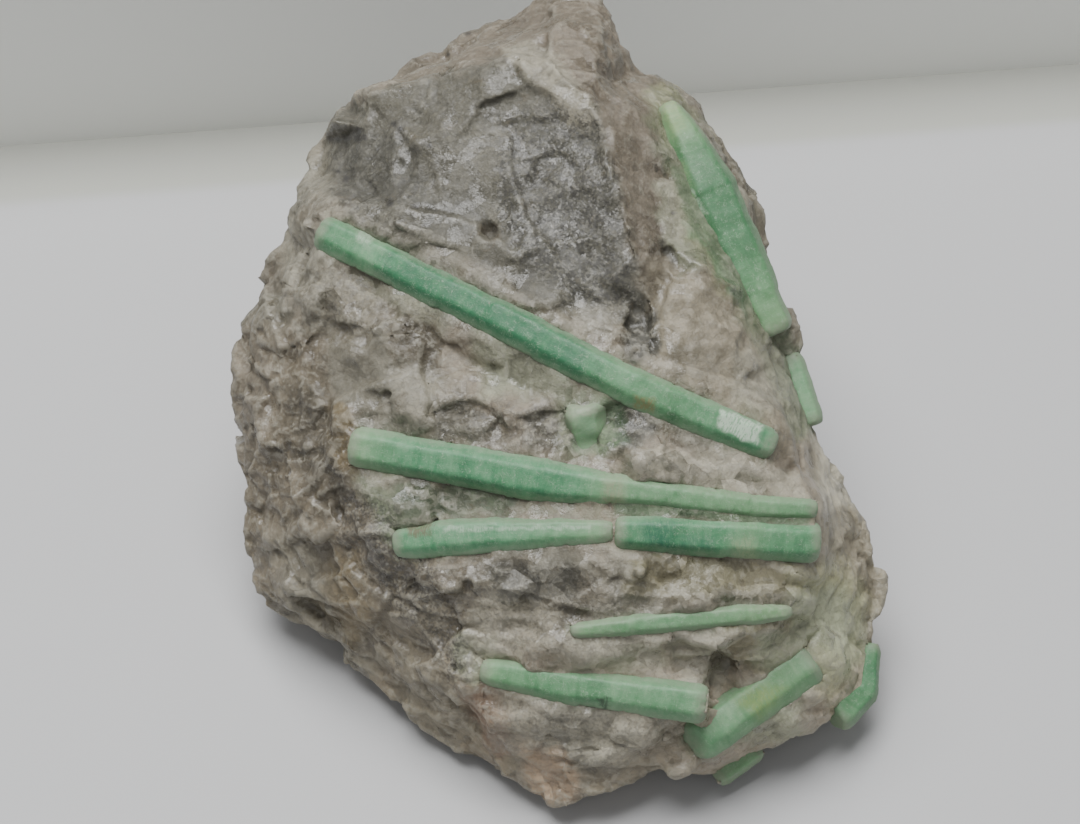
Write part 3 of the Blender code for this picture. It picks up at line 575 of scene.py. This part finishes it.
def neighbourMeans(points, ends):
    total, count = np.zeros_like(points), np.zeros(len(points))
    for a, b in ((0, 1), (1, 0)):
        np.add.at(total, ends[:, a], points[ends[:, b]])
        np.add.at(count, ends[:, a], 1)
    return total / count[:, None]


def raiseBeside(points, tree, values):
    # lifts the quartz that lies lower than the widest line of the crystal beside it
    out = Vector(faceToWorld.col[2][:3]) / mm
    near, far, most = values["raised"]
    for i, start in enumerate(points):
        point = Vector(start)
        apart = None
        for _ in range(5):
            spot, _, _, distance = tree.find_nearest(point, 5.0 * mm)
            if spot is None:
                break
            apart = distance
            below = (spot - point).dot(out)
            if below < 0.02 * mm:
                break
            point += out * below
        rise = (point - Vector(start)).dot(out)
        if apart is None or rise <= 0:
            continue
        share = 1 - smoothStep(near, far, apart / mm)
        points[i] += np.array(out) * min(rise, most * mm) * share


def hugCrystals(points, tree, values):
    # draws the quartz to the crystals, heaps it against them, and gives how free of them each point is
    out = np.array(faceToWorld.col[2][:3]) / mm
    reach = values["bank"][1]
    laps = fieldNoise(points / mm, values["lap"][1], 1, shift=7.0)
    heaps = smoothStep(-0.5, 0.35, fieldNoise(points / mm, 3.1, 2, shift=17.0))
    distances = np.full(len(points), reach)
    for i, point in enumerate(points):
        spot, normal, _, distance = tree.find_nearest(Vector(point), reach * mm)
        if spot is None:
            continue
        distance = max(distance, 1e-7)
        distances[i] = distance / mm
        if distance > values["far"] * mm:
            continue
        away = (point - np.array(spot)) / distance
        if away @ np.array(normal) < 0:
            away = -away
        side = 1 - smoothStep(*values["lapSides"], abs(float(np.array(normal) @ out)))
        flake = values["lap"][0] * smoothStep(0.05, 0.4, laps[i]) * side
        least = flake - values["touch"]
        share = smoothStep(values["near"], values["far"], distances[i])
        points[i] = np.array(spot) + away * (least * (1 - share) + distances[i] * share) * mm
    lift = values["bank"][0] * heaps * (1 - smoothStep(values["near"], reach, distances))
    lift *= smoothStep(values["near"] - 0.2, values["near"], distances)
    points += out * (lift * mm)[:, None]
    return smoothStep(values["near"] - 0.2, values["near"] + 0.6, distances)


def chipHeights(points, spacing, slope, step, scoop, edge, rng):
    # a broken surface: tilted chips at their own heights, each a little scooped, narrow breaks between them
    low, high = points.min(axis=0) - spacing, points.max(axis=0) + spacing
    count = int(np.prod(high - low) / spacing**3)
    tree = KDTree(count)
    centres, slopes, heights = [], [], []
    for i in range(count):
        centre = Vector(rng.uniform(a, b) for a, b in zip(low, high))
        tree.insert(centre, i)
        centres.append(centre)
        slopes.append(Vector(rng.uniform(-slope, slope) for _ in range(3)))
        heights.append(rng.uniform(-step, step))
    tree.balance()
    result = np.empty(len(points))
    for k, row in enumerate(points):
        point = Vector(row)
        (_, first, d1), (_, second, d2) = tree.find_n(point, 2)
        share = min(1.0, (d2 - d1) / edge)
        share = 0.5 + 0.5 * share * share * (3 - 2 * share)
        levels = []
        for i, distance in ((first, d1), (second, d2)):
            level = heights[i] + slopes[i].dot(point - centres[i])
            levels.append(level + scoop * ((distance / spacing) ** 2 - 0.3))
        result[k] = levels[0] * share + levels[1] * (1 - share)
    return result


def crests(mesh):
    # how far each point stands out of its neighbours, in mm
    points = readRows(mesh, "co")
    means = neighbourMeans(points, edgeEnds(mesh))
    return ((points - means) * readRows(mesh, "normal")).sum(axis=1) / mm


def shapeQuartz(values):
    rng = random.Random(values["seed"])
    crystals = [obj for name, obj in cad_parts.items() if name != "quartz_matrix"]
    swollen = [mergedSolid(obj, values["swell"] * mm) for obj in crystals]
    solids = joinedMesh([mergedSolid(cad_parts["quartz_matrix"]), *swollen], "quartzSolids")
    mesh = remeshed(solids, values["voxel"])
    outerShell(mesh)
    allCrystals = joinedMesh([mergedSolid(obj) for obj in crystals], "allCrystals")
    bm = bmesh.new()
    bm.from_mesh(allCrystals)
    tree = BVHTree.FromBMesh(bm)
    bm.free()
    points = readRows(mesh, "co")
    raiseBeside(points, tree, values)
    free = hugCrystals(points, tree, values)
    free = np.maximum(free, values["evened"] * relaxed(mesh, points, values))
    writePoints(mesh, points)
    print("quartz closed round the crystals:", len(points), "points")

    spots = moved(points, worldToFace)
    normals = readRows(mesh, "normal")
    sights = sightOf(spots)
    towards = leaning(normals)
    frontal = smoothStep(-0.1, 0.25, towards[:, 2])
    smooth = np.zeros(len(points))
    for strength, border, outline in smoothPatches:
        smooth = np.maximum(smooth, strength * patchShare(outline, border, sights) * frontal)
    sideways, lower = values["stretch"]
    stretched = spots / np.array((sideways, 1.0, 1.0))
    stretched[:, 0] /= 1 + (lower - 1) * smoothStep(2.0, -12.0, spots[:, 1])
    relief = sum(chipHeights(stretched, *layer, rng) for layer in values["chips"])
    relief = relief * (1 - values["flat"] * smooth) + values["grit"] * fieldNoise(spots, 0.5)
    for u, v, radius, depth in pits:
        distance = np.hypot(sights[:, 0] - u, sights[:, 1] - v)
        relief -= frontal * depth * (1 - smoothStep(radius * 0.3, radius * 1.2, distance))
    relief *= values["level"] + (1 - values["level"]) * free
    relief *= smoothStep(0.2, 1.2, points[:, 2] / mm)
    points += normals * relief[:, None] * mm
    points[:, 2] = np.maximum(points[:, 2], 0.00002)
    writePoints(mesh, points)
    storeValues(mesh, "relief", relief)
    storeValues(mesh, "free", free)
    storeValues(mesh, "smooth", smooth)
    storeValues(mesh, "crest", crests(mesh))
    print("quartz broken into chips")
    return thinned(mesh, frontal, values["backShare"])


def thinned(mesh, frontal, share):
    # fewer triangles behind the face
    helper = newObject("quartzHelper", mesh)
    group = helper.vertex_groups.new(name="behind")
    for i in np.flatnonzero(frontal < 0.5):
        group.add([int(i)], 1.0, "REPLACE")
    thin = helper.modifiers.new("thin", "DECIMATE")
    thin.ratio = 1 - (1 - share) * np.count_nonzero(frontal < 0.5) / len(frontal)
    thin.vertex_group = group.name
    result = evaluatedMesh(helper)
    bpy.data.objects.remove(helper)
    print("quartz thinned behind to", sum(len(p.vertices) - 2 for p in result.polygons), "triangles")
    return result


def paintQuartz(mesh, values):
    points = readRows(mesh, "co")
    spots = moved(points, worldToFace)
    towards = leaning(readRows(mesh, "normal"))
    frontal = smoothStep(-0.25, 0.15, towards[:, 2])
    warp = np.column_stack([fieldNoise(spots, 2.2, 3, shift) for shift in (3.0, 11.0)])
    sights = sightOf(spots) + values["blur"] * warp
    rosy, brownish = values["ground"]
    base = smoothStep(-0.35, 0.35, fieldNoise(spots, rosy, 3, 21.0))[:, None]
    spread = values["browned"] * smoothStep(-0.1, 0.5, fieldNoise(spots, brownish, 3, 31.0))[:, None]
    colour = np.array(tones["rose"]) * base + np.array(tones["grey"]) * (1 - base)
    colour = colour * (1 - spread) + np.array(tones["brown"]) * spread
    for tone, strength, border, outline in patches:
        share = (strength * patchShare(outline, border, sights) * frontal)[:, None]
        colour = colour * (1 - share) + np.array(tones[tone]) * share
    sugar = np.zeros(len(points))
    for strength, border, outline in sugarPatches:
        sugar = np.maximum(sugar, strength * patchShare(outline, border, sights) * frontal)
    speck = np.zeros(len(points))
    plain = sightOf(spots)
    for u, v, radius in specks:
        distance = np.hypot(plain[:, 0] - u, plain[:, 1] - v)
        speck = np.maximum(speck, frontal * (1 - smoothStep(radius * 0.5, radius * 1.4, distance)))
    # painted light and shade: the tone is darkened high on the face, brightened low on it and brightened on
    # the right flank, mixed with the rock's own tone
    heights, shades = zip(*values["toneAndLightByHeight"])
    low, high, bright = values["rightEdgeToneAndLight"]
    toneAndLightByHeight = np.interp(sights[:, 1], heights, shades)
    toneAndLightByHeight *= 1 + (bright - 1) * smoothStep(low, high, sights[:, 0])
    storeColours(mesh, "tone", colour * toneAndLightByHeight[:, None] * np.array(values["cast"]))
    storeValues(mesh, "sugar", sugar)
    storeValues(mesh, "speck", speck)


def quartzMaterial():
    fixed = {"IOR": 1.545, "Subsurface Weight": 0.15, "Subsurface Scale": 0.0005,
             "Subsurface Radius": (1.0, 0.9, 0.75)}
    material, tree, shader = newMaterial("brokenQuartz", fixed)
    place = node(tree, "TexCoord", output="Object")
    millimetres = node(tree, "VectorMath", {"operation": "SCALE"}, {"Vector": place, "Scale": 1 / mm})
    # the tone carries the painted light and shade by height and on the right flank
    tone = attribute(tree, "tone", "Color")
    sugar = attribute(tree, "sugar")
    relief = attribute(tree, "relief")
    smooth = attribute(tree, "smooth")
    speck = attribute(tree, "speck")
    crest = attribute(tree, "crest")

    def cells(size, shift=None):
        where = vectorMath(tree, "ADD", millimetres, shift) if shift else millimetres
        values = {"Vector": where, "Scale": 1 / size, "Randomness": 1.0}
        return where, node(tree, "TexVoronoi", {"feature": "F1"}, values, "Distance")

    def cloud(size, detail=3.0, roughness=0.55, warp=0.0):
        values = {"Vector": millimetres, "Scale": 1 / size, "Detail": detail, "Roughness": roughness,
                  "Distortion": warp}
        return node(tree, "TexNoise", None, values, "Fac")

    def facet(where, grains):
        # a random flat tilt for each grain, its height in mm for a slope of one
        centre = node(tree, "VectorMath", {"operation": "SCALE"},
                      {"Vector": grains.other("Position"), "Scale": 1.0})
        inGrain = vectorMath(tree, "SUBTRACT", where, centre)
        lean = vectorMath(tree, "SUBTRACT", grains.other("Color"), (0.5, 0.5, 0.5))
        return vectorMath(tree, "DOT_PRODUCT", inGrain, lean, output="Value")

    def channel(grains, index):
        return node(tree, "SeparateColor", None, (grains.other("Color"),), index)

    bits = cells(2.2, (3.0, 1.0, 7.0))
    grain = cells(0.7)
    fine = cells(0.24)
    bitTone, grainTone, fineTone = channel(bits[1], 0), channel(grain[1], 0), channel(fine[1], 1)
    veil = cloud(3.2, 4.0, 0.6, 0.6)
    mottle = cloud(0.9, 4.0, 0.65)
    flake = cloud(1.5, 5.0, 0.7, 1.2)

    # brightness: grain by grain and cloudy, with painted shade in the breaks and hollow creases and painted
    # light on the raised chips
    light = 1 + (bitTone - 0.5) * (0.3 - smooth * 0.18) + (grainTone - 0.5) * (0.2 + sugar * 0.25)
    light = light + (fineTone - 0.5) * (0.14 + sugar * 0.3)
    light = light + (veil - 0.5) * 0.6 + (mottle - 0.5) * 0.5
    # painted shade where the relief is low and painted light where it is high, then painted shade in hollow
    # creases
    light = light * relief.step(-0.6, 0.4, 0.9, 1.06)
    light = light * crest.step(-0.04, 0.0, 0.86, 1.0)
    colour = mixColours(tree, 1.0, tone, node(tree, "CombineColor", None, (light, light, light)), "MULTIPLY")
    # milky flakes of the quartz's own colour, and a painted highlight along the crests of the chips
    milkAndCrestHighlight = flake.step(0.54, 0.64) * (0.35 - smooth * 0.15)
    milkAndCrestHighlight = milkAndCrestHighlight + crest.step(0.006, 0.035) * (0.32 - smooth * 0.2)
    colour = mixColours(tree, milkAndCrestHighlight, colour, (0.31, 0.295, 0.24))
    stain = cloud(1.9, 4.0, 0.7, 0.8).step(0.57, 0.72) * 0.5
    colour = mixColours(tree, stain, colour, (0.10, 0.082, 0.052))
    nearGreen = attribute(tree, "free").step(0.9, 0.0) * mottle.step(0.35, 0.6)
    colour = mixColours(tree, nearGreen * 0.4, colour, (0.15, 0.21, 0.13))
    darkGrains = fineTone.step(0.6, 0.68) * sugar * 0.6
    colour = mixColours(tree, darkGrains, colour, (0.045, 0.043, 0.04))
    brightGrains = fineTone.step(0.18, 0.12) * (sugar * 0.12 + 0.06)
    colour = mixColours(tree, brightGrains, colour, (0.33, 0.32, 0.29))
    colour = mixColours(tree, speck * 0.85, colour, (0.03, 0.028, 0.025))
    feed(shader, "Base Color", colour)

    gloss = bitTone.step(0.0, 1.0, 0.3, 0.7) + (mottle - 0.5) * 0.4
    feed(shader, "Roughness", gloss)

    height = facet(*bits) * (0.7 - smooth * 0.6) + facet(*grain) * (0.4 - smooth * 0.2)
    height = height + facet(*fine) * (0.25 + sugar * 0.12)
    height = height + (mottle - 0.5) * 0.1 + (flake - 0.5) * 0.15
    bump = node(tree, "Bump", None, {"Strength": 1.0, "Distance": 0.8 * mm, "Height": height}, "Normal")
    feed(shader, "Normal", bump)
    return material


# The emeralds

emeraldShape = {
    "swell": {  # past the plain solid, mm
        "emerald_side": 0.5,
        "emerald_deep_middle": 0.5,
        "emerald_needle": 0.35,
        "emerald_window": 0.3,
    },
    "plainSwell": 0.27,  # of the others, mm
    "edge": 0.36,  # an edge longer than this is halved, mm
    "halvings": 4,
    "rounding": 6,  # rounds of smoothing of the edges
    "chip": (0.9, 0.2, 0.35),  # size of the nicks in the edges mm, threshold, depth mm
    "wobble": {"emerald_window": 0.5, "emerald_corner": 0.15, "emerald_side": 0.1},  # mm
    "plainWobble": 0.06,  # of the others, mm
    "wobbleSize": 1.7,  # mm
    "sharp": 0.06,  # how sharp an edge is where its nicks have their whole depth
}

# Tones along each crystal from its first end: share of its length, paleness 0 to 1, yellowness 0 to 1.
emeralds = {
    "emerald_long_upper": [(0, .25, .1), (.08, .3, .1), (.13, .6, .1), (.17, 0, 0), (.3, -.08, 0),
                           (.36, .05, 0), (.42, -.1, 0), (.5, 0, 0), (.6, .05, 0), (.66, .35, .15),
                           (.72, .45, .2), (.8, .25, .2), (.88, .45, .1), (1, .3, 0)],
    "emerald_long_middle": [(0, .9, .5), (.06, .6, .2), (.12, .35, 0), (.2, .4, 0), (.26, .25, 0),
                            (.34, .4, 0), (.42, .3, 0), (.5, .35, 0), (.57, .8, .4), (.62, .7, .3),
                            (.7, .5, .3), (.85, .55, .4), (1, .5, .3)],
    "emerald_pale_middle": [(0, .6, .1), (.1, .5, 0), (.5, .5, 0), (.8, .6, .2), (1, .85, .5)],
    "emerald_deep_middle": [(0, .6, .2), (.08, .35, 0), (.2, .3, 0), (.3, .1, 0), (.38, .35, 0),
                            (.5, .5, 0), (.65, .6, .3), (.75, .4, .1), (1, .35, .1)],
    "emerald_needle": [(0, .7, .5), (.15, .5, .4), (.35, .4, .3), (.4, .55, .3), (.7, .5, .4),
                       (1, .8, .7)],
    "emerald_lower": [(0, .9, .6), (.1, .5, .3), (.3, .35, .2), (.55, .3, .2), (.6, .6, .2), (.8, .5, .2),
                      (1, .6, .2)],
    "emerald_corner": [(0, .4, .2), (.12, .7, .2), (.4, .6, .3), (.6, .5, .5), (.8, .6, .4),
                       (1, .8, .3)],
    "emerald_corner_stub": [(0, .85, .5), (1, .7, .4)],
    "emerald_side": [(0, .8, .9), (.12, .45, .6), (.22, .05, .3), (.4, -.05, .2), (.62, 0, .2),
                     (.78, .3, .3), (1, .6, .6)],
    "emerald_side_edge": [(0, .8, .2), (1, .7, .3)],
    "emerald_right_foot": [(0, .6, .3), (.4, .35, .2), (.7, .2, .1), (1, .5, .3)],
    "emerald_window": [(0, 1.0, .4), (1, 1.1, .4)],
}

# How much milky quartz veils the rims of each crystal; the others take the plain value.
veils = {"emerald_needle": 0.75, "emerald_window": 0.8, "emerald_corner": 0.45, "emerald_pale_middle": 0.7,
         "emerald_side": 0.55, "emerald_corner_stub": 0.8}
plainVeil = 0.6

crystalPaint = {
    "rim": 0.9,  # width of the veiled rim, mm
    "tips": 0.6,  # a distance from a tip counts this many times as much as one from a side
    "ragged": (0.25, 1.3),  # unevenness of the rim's border and its size, mm
    "slice": 0.8,  # length of the slices in which a crystal's width is measured, mm
    "markBlur": 0.3,  # how far the borders of the marks wander, mm
}

# Marks on the crystals, among them painted highlights and a painted shadow: colour, strength, border in mm,
# outline by sight.
marksAndPaintedLight = [
    ((0.30, 0.38, 0.28), 0.7, 0.5, [(-18, 18.6), (-16.4, 17.8), (-17, 16.4), (-18.4, 17)]),
    ((0.17, 0.16, 0.07), 0.8, 0.6, [(9.5, 1.6), (11.6, 1.2), (11.4, 0), (9.4, 0.2)]),
    # painted highlight: a glint on the right end of the upper long crystal
    ((0.44, 0.53, 0.42), 0.85, 0.4, [(18.1, 0.5), (22.2, -1.4), (21.6, -3.4), (17.6, -1.5)]),
    # painted shadow under the raised right end of the upper long crystal
    ((0.05, 0.06, 0.04), 0.8, 0.3, [(19, -3.6), (23.5, -5.4), (23.4, -5.9), (18.8, -4.1)]),
    ((0.26, 0.24, 0.16), 0.5, 1.2, [(6.3, -6.6), (8.2, -6.8), (8.6, -10), (6.4, -10)]),
    # painted highlight: a bright line along the upper edge of the crystal at this height
    ((0.36, 0.46, 0.35), 0.6, 0.25, [(-10, -11.5), (5, -11.3), (5, -11.7), (-10, -12)]),
    ((0.12, 0.10, 0.06), 0.8, 0.4, [(-13.2, -11.2), (-11, -11.2), (-11, -12.4), (-13.2, -12.4)]),
    ((0.03, 0.12, 0.07), 0.5, 0.9, [(14, -12.2), (17.4, -12.4), (17.2, -13.8), (14.2, -13.8)]),
    ((0.28, 0.33, 0.20), 0.5, 1.2, [(19.2, -12.6), (21.4, -12.8), (21.6, -15), (19.4, -15)]),
    ((0.02, 0.10, 0.06), 0.6, 1.2, [(10, -11), (13.4, -10.8), (13, -13.6), (10.4, -13.2)]),
    ((0.03, 0.05, 0.03), 0.8, 0.2, [(5.6, -28.5), (7.2, -28.5), (6.4, -30)]),
    ((0.10, 0.23, 0.12), 0.45, 0.8, [(3.8, -0.4), (5.6, -0.2), (5.4, -2.8), (3.9, -3)]),
    ((0.27, 0.32, 0.22), 0.7, 1.2, [(2, 2.4), (5.4, 2.4), (5, -0.4), (2.4, -0.6)]),
    ((0.40, 0.48, 0.37), 0.5, 0.3, [(15, 22.4), (15.4, 22.4), (16.8, 19.6), (16.4, 19.6)]),
    ((0.24, 0.33, 0.15), 0.6, 0.9, [(11.5, 31.5), (13.5, 31.5), (14.6, 28.5), (13.2, 27.6)]),
    ((0.22, 0.32, 0.16), 0.5, 0.8, [(13.6, 25), (14.6, 25), (16.6, 18.5), (19, 13), (17.8, 12.6),
                                    (15, 18.5)]),
    ((0.22, 0.29, 0.09), 0.6, 1.6, [(19.5, -29), (21.5, -27.5), (24.5, -27.5), (22, -30.6)]),
]


def fineCrystal(source, values):
    # the crystal's solid with a fine surface, rounded edges and small nicks in them
    bm = mergedSolid(source, values["swell"].get(source.name, values["plainSwell"]) * mm)
    for _ in range(values["halvings"]):
        long = [edge for edge in bm.edges if edge.calc_length() > values["edge"] * mm]
        bmesh.ops.subdivide_edges(bm, edges=long, cuts=1)
        bmesh.ops.triangulate(bm, faces=bm.faces)
    for _ in range(values["rounding"]):
        bmesh.ops.smooth_vert(
            bm, verts=bm.verts, factor=0.5, use_axis_x=True, use_axis_y=True, use_axis_z=True)
    bm.normal_update()
    size, threshold, depth = values["chip"]
    wobble = values["wobble"].get(source.name, values["plainWobble"])
    for vert in bm.verts:
        spot = vert.co / mm
        spread = max(1 - vert.normal.dot(face.normal) for face in vert.link_faces)
        nick = max(0.0, noise.noise(spot / size) - threshold) * min(1.0, spread / values["sharp"])
        offset = wobble * noise.noise(spot / values["wobbleSize"]) - depth * nick
        vert.co += vert.normal * offset * mm
    mesh = newMesh(source.name + "_fine", bm)
    mesh.shade_smooth()
    return mesh


def rimDistance(along, across, step):
    # how far each point lies inside the crystal's outline, in mm
    index = ((along - along.min()) / step).astype(int)
    low, high = np.full(index.max() + 1, 1e9), np.full(index.max() + 1, -1e9)
    np.minimum.at(low, index, across)
    np.maximum.at(high, index, across)
    places = np.arange(len(low)) + 0.5
    where = (along - along.min()) / step
    return np.minimum(across - np.interp(where, places, low), np.interp(where, places, high) - across)


def paintCrystal(mesh, stops, veil, values):
    # lengthwise, crosswise and outward places in mm, and the paleness and yellowness there
    spots = moved(readRows(mesh, "co"), worldToFace)
    middle = spots.mean(axis=0)
    _, _, turns = np.linalg.svd(spots - middle, full_matrices=False)
    axis = turns[0] if abs(turns[0][0]) < 0.5 and turns[0][1] < 0 else turns[0] * np.sign(turns[0][0])
    out = np.array((0.0, 0.0, 1.0))
    out -= axis * (axis @ out)
    out /= np.linalg.norm(out)
    across = np.cross(out, axis)
    along = (spots - middle) @ axis
    sideways = (spots - middle) @ across
    storeVectors(mesh, "grain", np.column_stack([along, sideways, (spots - middle) @ out]))
    tip = np.minimum(along - along.min(), along.max() - along)
    ragged, size = values["ragged"]
    rim = np.minimum(rimDistance(along, sideways, values["slice"]), values["tips"] * tip)
    rim = rim + ragged * fieldNoise(spots, size, 3)
    storeValues(mesh, "veil", veil * smoothStep(values["rim"], 0.0, rim))
    share = (along - along.min()) / (along.max() - along.min())
    places, pale, yellow = zip(*stops)
    storeValues(mesh, "pale", np.interp(share, places, pale))
    storeValues(mesh, "yellow", np.interp(share, places, yellow))
    towards = leaning(readRows(mesh, "normal"))
    storeValues(mesh, "top", smoothStep(0.1, 0.45, towards[:, 2]))
    # how far a face turns across the crystal, for its painted light and shade
    storeValues(mesh, "side", towards @ across)
    storeValues(mesh, "tip", tip)
    warp = np.column_stack([fieldNoise(spots, 0.9, 2, shift) for shift in (5.0, 9.0)])
    sights = sightOf(spots) + values["markBlur"] * warp
    colour, marked = np.zeros((len(spots), 3)), np.zeros(len(spots))
    for tone, strength, border, outline in marksAndPaintedLight:
        share = strength * patchShare(outline, border, sights)
        colour = np.where((share > marked)[:, None], np.array(tone), colour)
        marked = np.maximum(marked, share)
    storeColours(mesh, "mark", colour)
    storeValues(mesh, "marked", marked)


def emeraldMaterial():
    fixed = {"IOR": 1.58, "Specular IOR Level": 0.3, "Subsurface Weight": 0.2, "Subsurface Scale": 0.0008,
             "Subsurface Radius": (0.35, 1.0, 0.5)}
    material, tree, shader = newMaterial("cloudyEmerald", fixed)
    grain = attribute(tree, "grain", "Vector")
    pale = attribute(tree, "pale")
    yellow = attribute(tree, "yellow")
    side = attribute(tree, "side")
    top = attribute(tree, "top")
    tip = attribute(tree, "tip")

    def cloud(stretch, detail=3.0, roughness=0.55):
        place = vectorMath(tree, "MULTIPLY", grain, stretch)
        return node(tree, "TexNoise", None, {"Vector": place, "Scale": 1.0, "Detail": detail,
                                             "Roughness": roughness}, "Fac")

    bands = cloud((0.9, 0.15, 0.15), 3.0, 0.6)
    lines = cloud((2.4, 0.8, 0.8), 4.0, 0.6)
    scratches = cloud((6.0, 1.6, 1.6), 3.0, 0.65)
    clouds = cloud((0.7, 0.9, 0.9), 4.0, 0.6)
    streaks = cloud((0.4, 3.0, 3.0), 3.0, 0.6)
    frost = cloud((1.6, 1.8, 1.8), 5.0, 0.75)

    depth = pale + (bands - 0.5) * 0.7 + (clouds - 0.5) * 0.8 + (lines - 0.5) * 0.6 + (streaks - 0.5) * 0.25
    # painted light and shade across each crystal: paler on the side it faces across to (the upper side of a
    # crystal lying across the face), deeper on the other, together with the deeper colour seen through the
    # crystal's thicker part
    depth = depth + side.step(-0.6, 0.6, -0.08, 0.08)
    stops = [(0.0, (0.03, 0.135, 0.062)), (0.3, (0.062, 0.2, 0.095)), (0.65, (0.115, 0.265, 0.142)),
             (1.0, (0.2, 0.335, 0.205))]
    colour = node(tree, "ValToRGB", {"stops": stops}, (depth,), "Color")
    colour = mixColours(tree, yellow * 0.6, colour, (0.22, 0.28, 0.12))
    curled = {"Vector": grain, "Scale": 1.4, "Detail": 2.0, "Distortion": 1.6}
    curl = node(tree, "TexNoise", None, curled, "Fac")
    hairs = curl.step(0.47, 0.5) * curl.step(0.53, 0.5) * frost.step(0.4, 0.6) * 0.55
    colour = mixColours(tree, hairs, colour, (0.27, 0.38, 0.27))
    dust = frost.step(0.45, 0.62) * (1 - top * 0.8) * 0.5
    dust = dust + frost.step(0.3, 0.5) * tip.step(0.0, 1.6, 0.6, 0.0)
    colour = mixColours(tree, dust, colour, (0.2, 0.215, 0.155))
    veil = attribute(tree, "veil")
    colour = mixColours(tree, veil * frost.step(0.25, 0.55, 0.5, 1.0), colour, (0.2, 0.25, 0.17))
    # the marks, among them painted highlights and a painted shadow, laid on in strokes
    strokes = scratches.step(0.4, 0.52, 0.35, 1.0)
    colour = mixColours(tree, attribute(tree, "marked") * strokes, colour, attribute(tree, "mark", "Color"))
    feed(shader, "Base Color", colour)
    feed(shader, "Roughness", 0.5 + (streaks - 0.5) * 0.3 + (bands - 0.5) * 0.3)
    height = (streaks - 0.5) * 0.15 + (lines - 0.5) * 0.25 + (frost - 0.5) * 0.3
    bump = node(tree, "Bump", None, {"Strength": 1.0, "Distance": 0.12 * mm, "Height": height}, "Normal")
    feed(shader, "Normal", bump)
    return material


# The room

room = {
    "floor": (0.445, 0.447, 0.45),
    "band": (0.40, 0.405, 0.368),  # where the paper bends up
    "grey": (0.80, 0.81, 0.765),
    "reach": 3.0,
    "thick": 0.01,  # of the floor and the wall
    "sunk": 0.004,  # the foot of the wall into the floor
    "rounded": 0.0015,
    "sky": 0.33,
    "lamp": {"size": 0.45, "power": 8.0, "place": (-0.08, 0.10, 0.65)},
    "fill": {"size": 0.8, "power": 1.0, "place": (0.1, -0.7, 0.6)},
    "wall": {
        "middle": (0.0, 0.068),
        "turn": math.radians(6.2),
        "height": 0.031,
        "band": 0.0095,  # width of the band along its foot
        "soft": 0.0012,  # blur of the band's border
    },
}


def stageBox(name, size, middle, turn, rounded, material):
    bm = bmesh.new()
    bmesh.ops.create_cube(bm, size=1.0)
    bmesh.ops.scale(bm, vec=size, verts=bm.verts)
    bmesh.ops.bevel(bm, geom=bm.edges[:], offset=rounded, segments=3, affect="EDGES")
    bmesh.ops.rotate(bm, matrix=Matrix.Rotation(turn, 3, "Z"), verts=bm.verts)
    bmesh.ops.translate(bm, vec=middle, verts=bm.verts)
    mesh = newMesh(name, bm)
    mesh.materials.append(material)
    newObject(name, mesh)


def stageMaterial(name, tone):
    material, tree, shader = newMaterial(name, {"Roughness": 0.55, "Specular IOR Level": 0.3})
    place = node(tree, "TexCoord", output="Object")
    cloudy = node(tree, "TexNoise", None, {"Vector": place, "Scale": 9.0}, "Fac")
    feed(shader, "Base Color", mixColours(tree, cloudy, tuple(0.98 * c for c in tone), tone))
    return material


def floorMaterial(values):
    # pale, with a warmer band along the foot of the wall
    material, tree, shader = newMaterial("paleFloor", {"Roughness": 0.55, "Specular IOR Level": 0.3})
    place = node(tree, "TexCoord", output="Object")
    wall = values["wall"]
    normal = (-math.sin(wall["turn"]), math.cos(wall["turn"]), 0.0)
    beyond = vectorMath(tree, "DOT_PRODUCT", place, normal, output="Value")
    start = wall["middle"][1] * normal[1] - wall["band"]
    share = beyond.step(start - wall["soft"], start + wall["soft"])
    feed(shader, "Base Color", mixColours(tree, share, values["floor"], values["band"]))
    return material


def makeRoom(values):
    reach, thick, wall, rounded = values["reach"], values["thick"], values["wall"], values["rounded"]
    stageBox("floor", (reach, reach, thick), (0, 0, -thick / 2), 0.0, rounded, floorMaterial(values))
    x, y = wall["middle"]
    back = (x, y + thick / 2, wall["height"] / 2 - values["sunk"])
    size = (reach / 2, thick, wall["height"])
    stageBox("wall", size, back, wall["turn"], rounded, stageMaterial("greyWall", values["grey"]))

    world = bpy.data.worlds.new("softSky")
    world.use_nodes = True
    world.node_tree.nodes["Background"].inputs["Color"].default_value = (0.97, 0.98, 1.0, 1.0)
    world.node_tree.nodes["Background"].inputs["Strength"].default_value = values["sky"]
    bpy.context.scene.world = world
    for name in ("lamp", "fill"):
        given = values[name]
        light = bpy.data.lights.new(name, "AREA")
        light.size = given["size"]
        light.energy = given["power"]
        lamp = newObject(name, light)
        lamp.location = given["place"]
        aim = Vector((0, 0, 0.02)) - Vector(given["place"])
        lamp.rotation_euler = aim.to_track_quat("-Z", "Y").to_euler()


def makeCamera():
    lens = bpy.data.cameras.new("camera")
    lens.sensor_width = 36.0
    lens.lens = 36.0 * face["eye"] / face["wide"]
    lens.clip_start = 0.01
    camera = newObject("camera", lens)
    camera.location = faceToWorld @ Vector((0, 0, face["eye"]))
    camera.rotation_euler = (math.pi / 2 - face["lean"], 0, 0)
    bpy.context.scene.camera = camera


def makeQuartz():
    mesh = shapeQuartz(quartz)
    paintQuartz(mesh, quartz)
    mesh.shade_smooth()
    newPiece("quartz_lump", mesh, quartzMaterial(), "quartz", "quartz_matrix")
    print("quartz painted")


def makeEmeralds():
    material = emeraldMaterial()
    for name, stops in emeralds.items():
        mesh = fineCrystal(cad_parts[name], emeraldShape)
        paintCrystal(mesh, stops, veils.get(name, plainVeil), crystalPaint)
        newPiece(name + "_crystal", mesh, material, "emerald", name)
    print("emeralds made:", len(emeralds))


makeCamera()
makeRoom(room)
makeQuartz()
makeEmeralds()
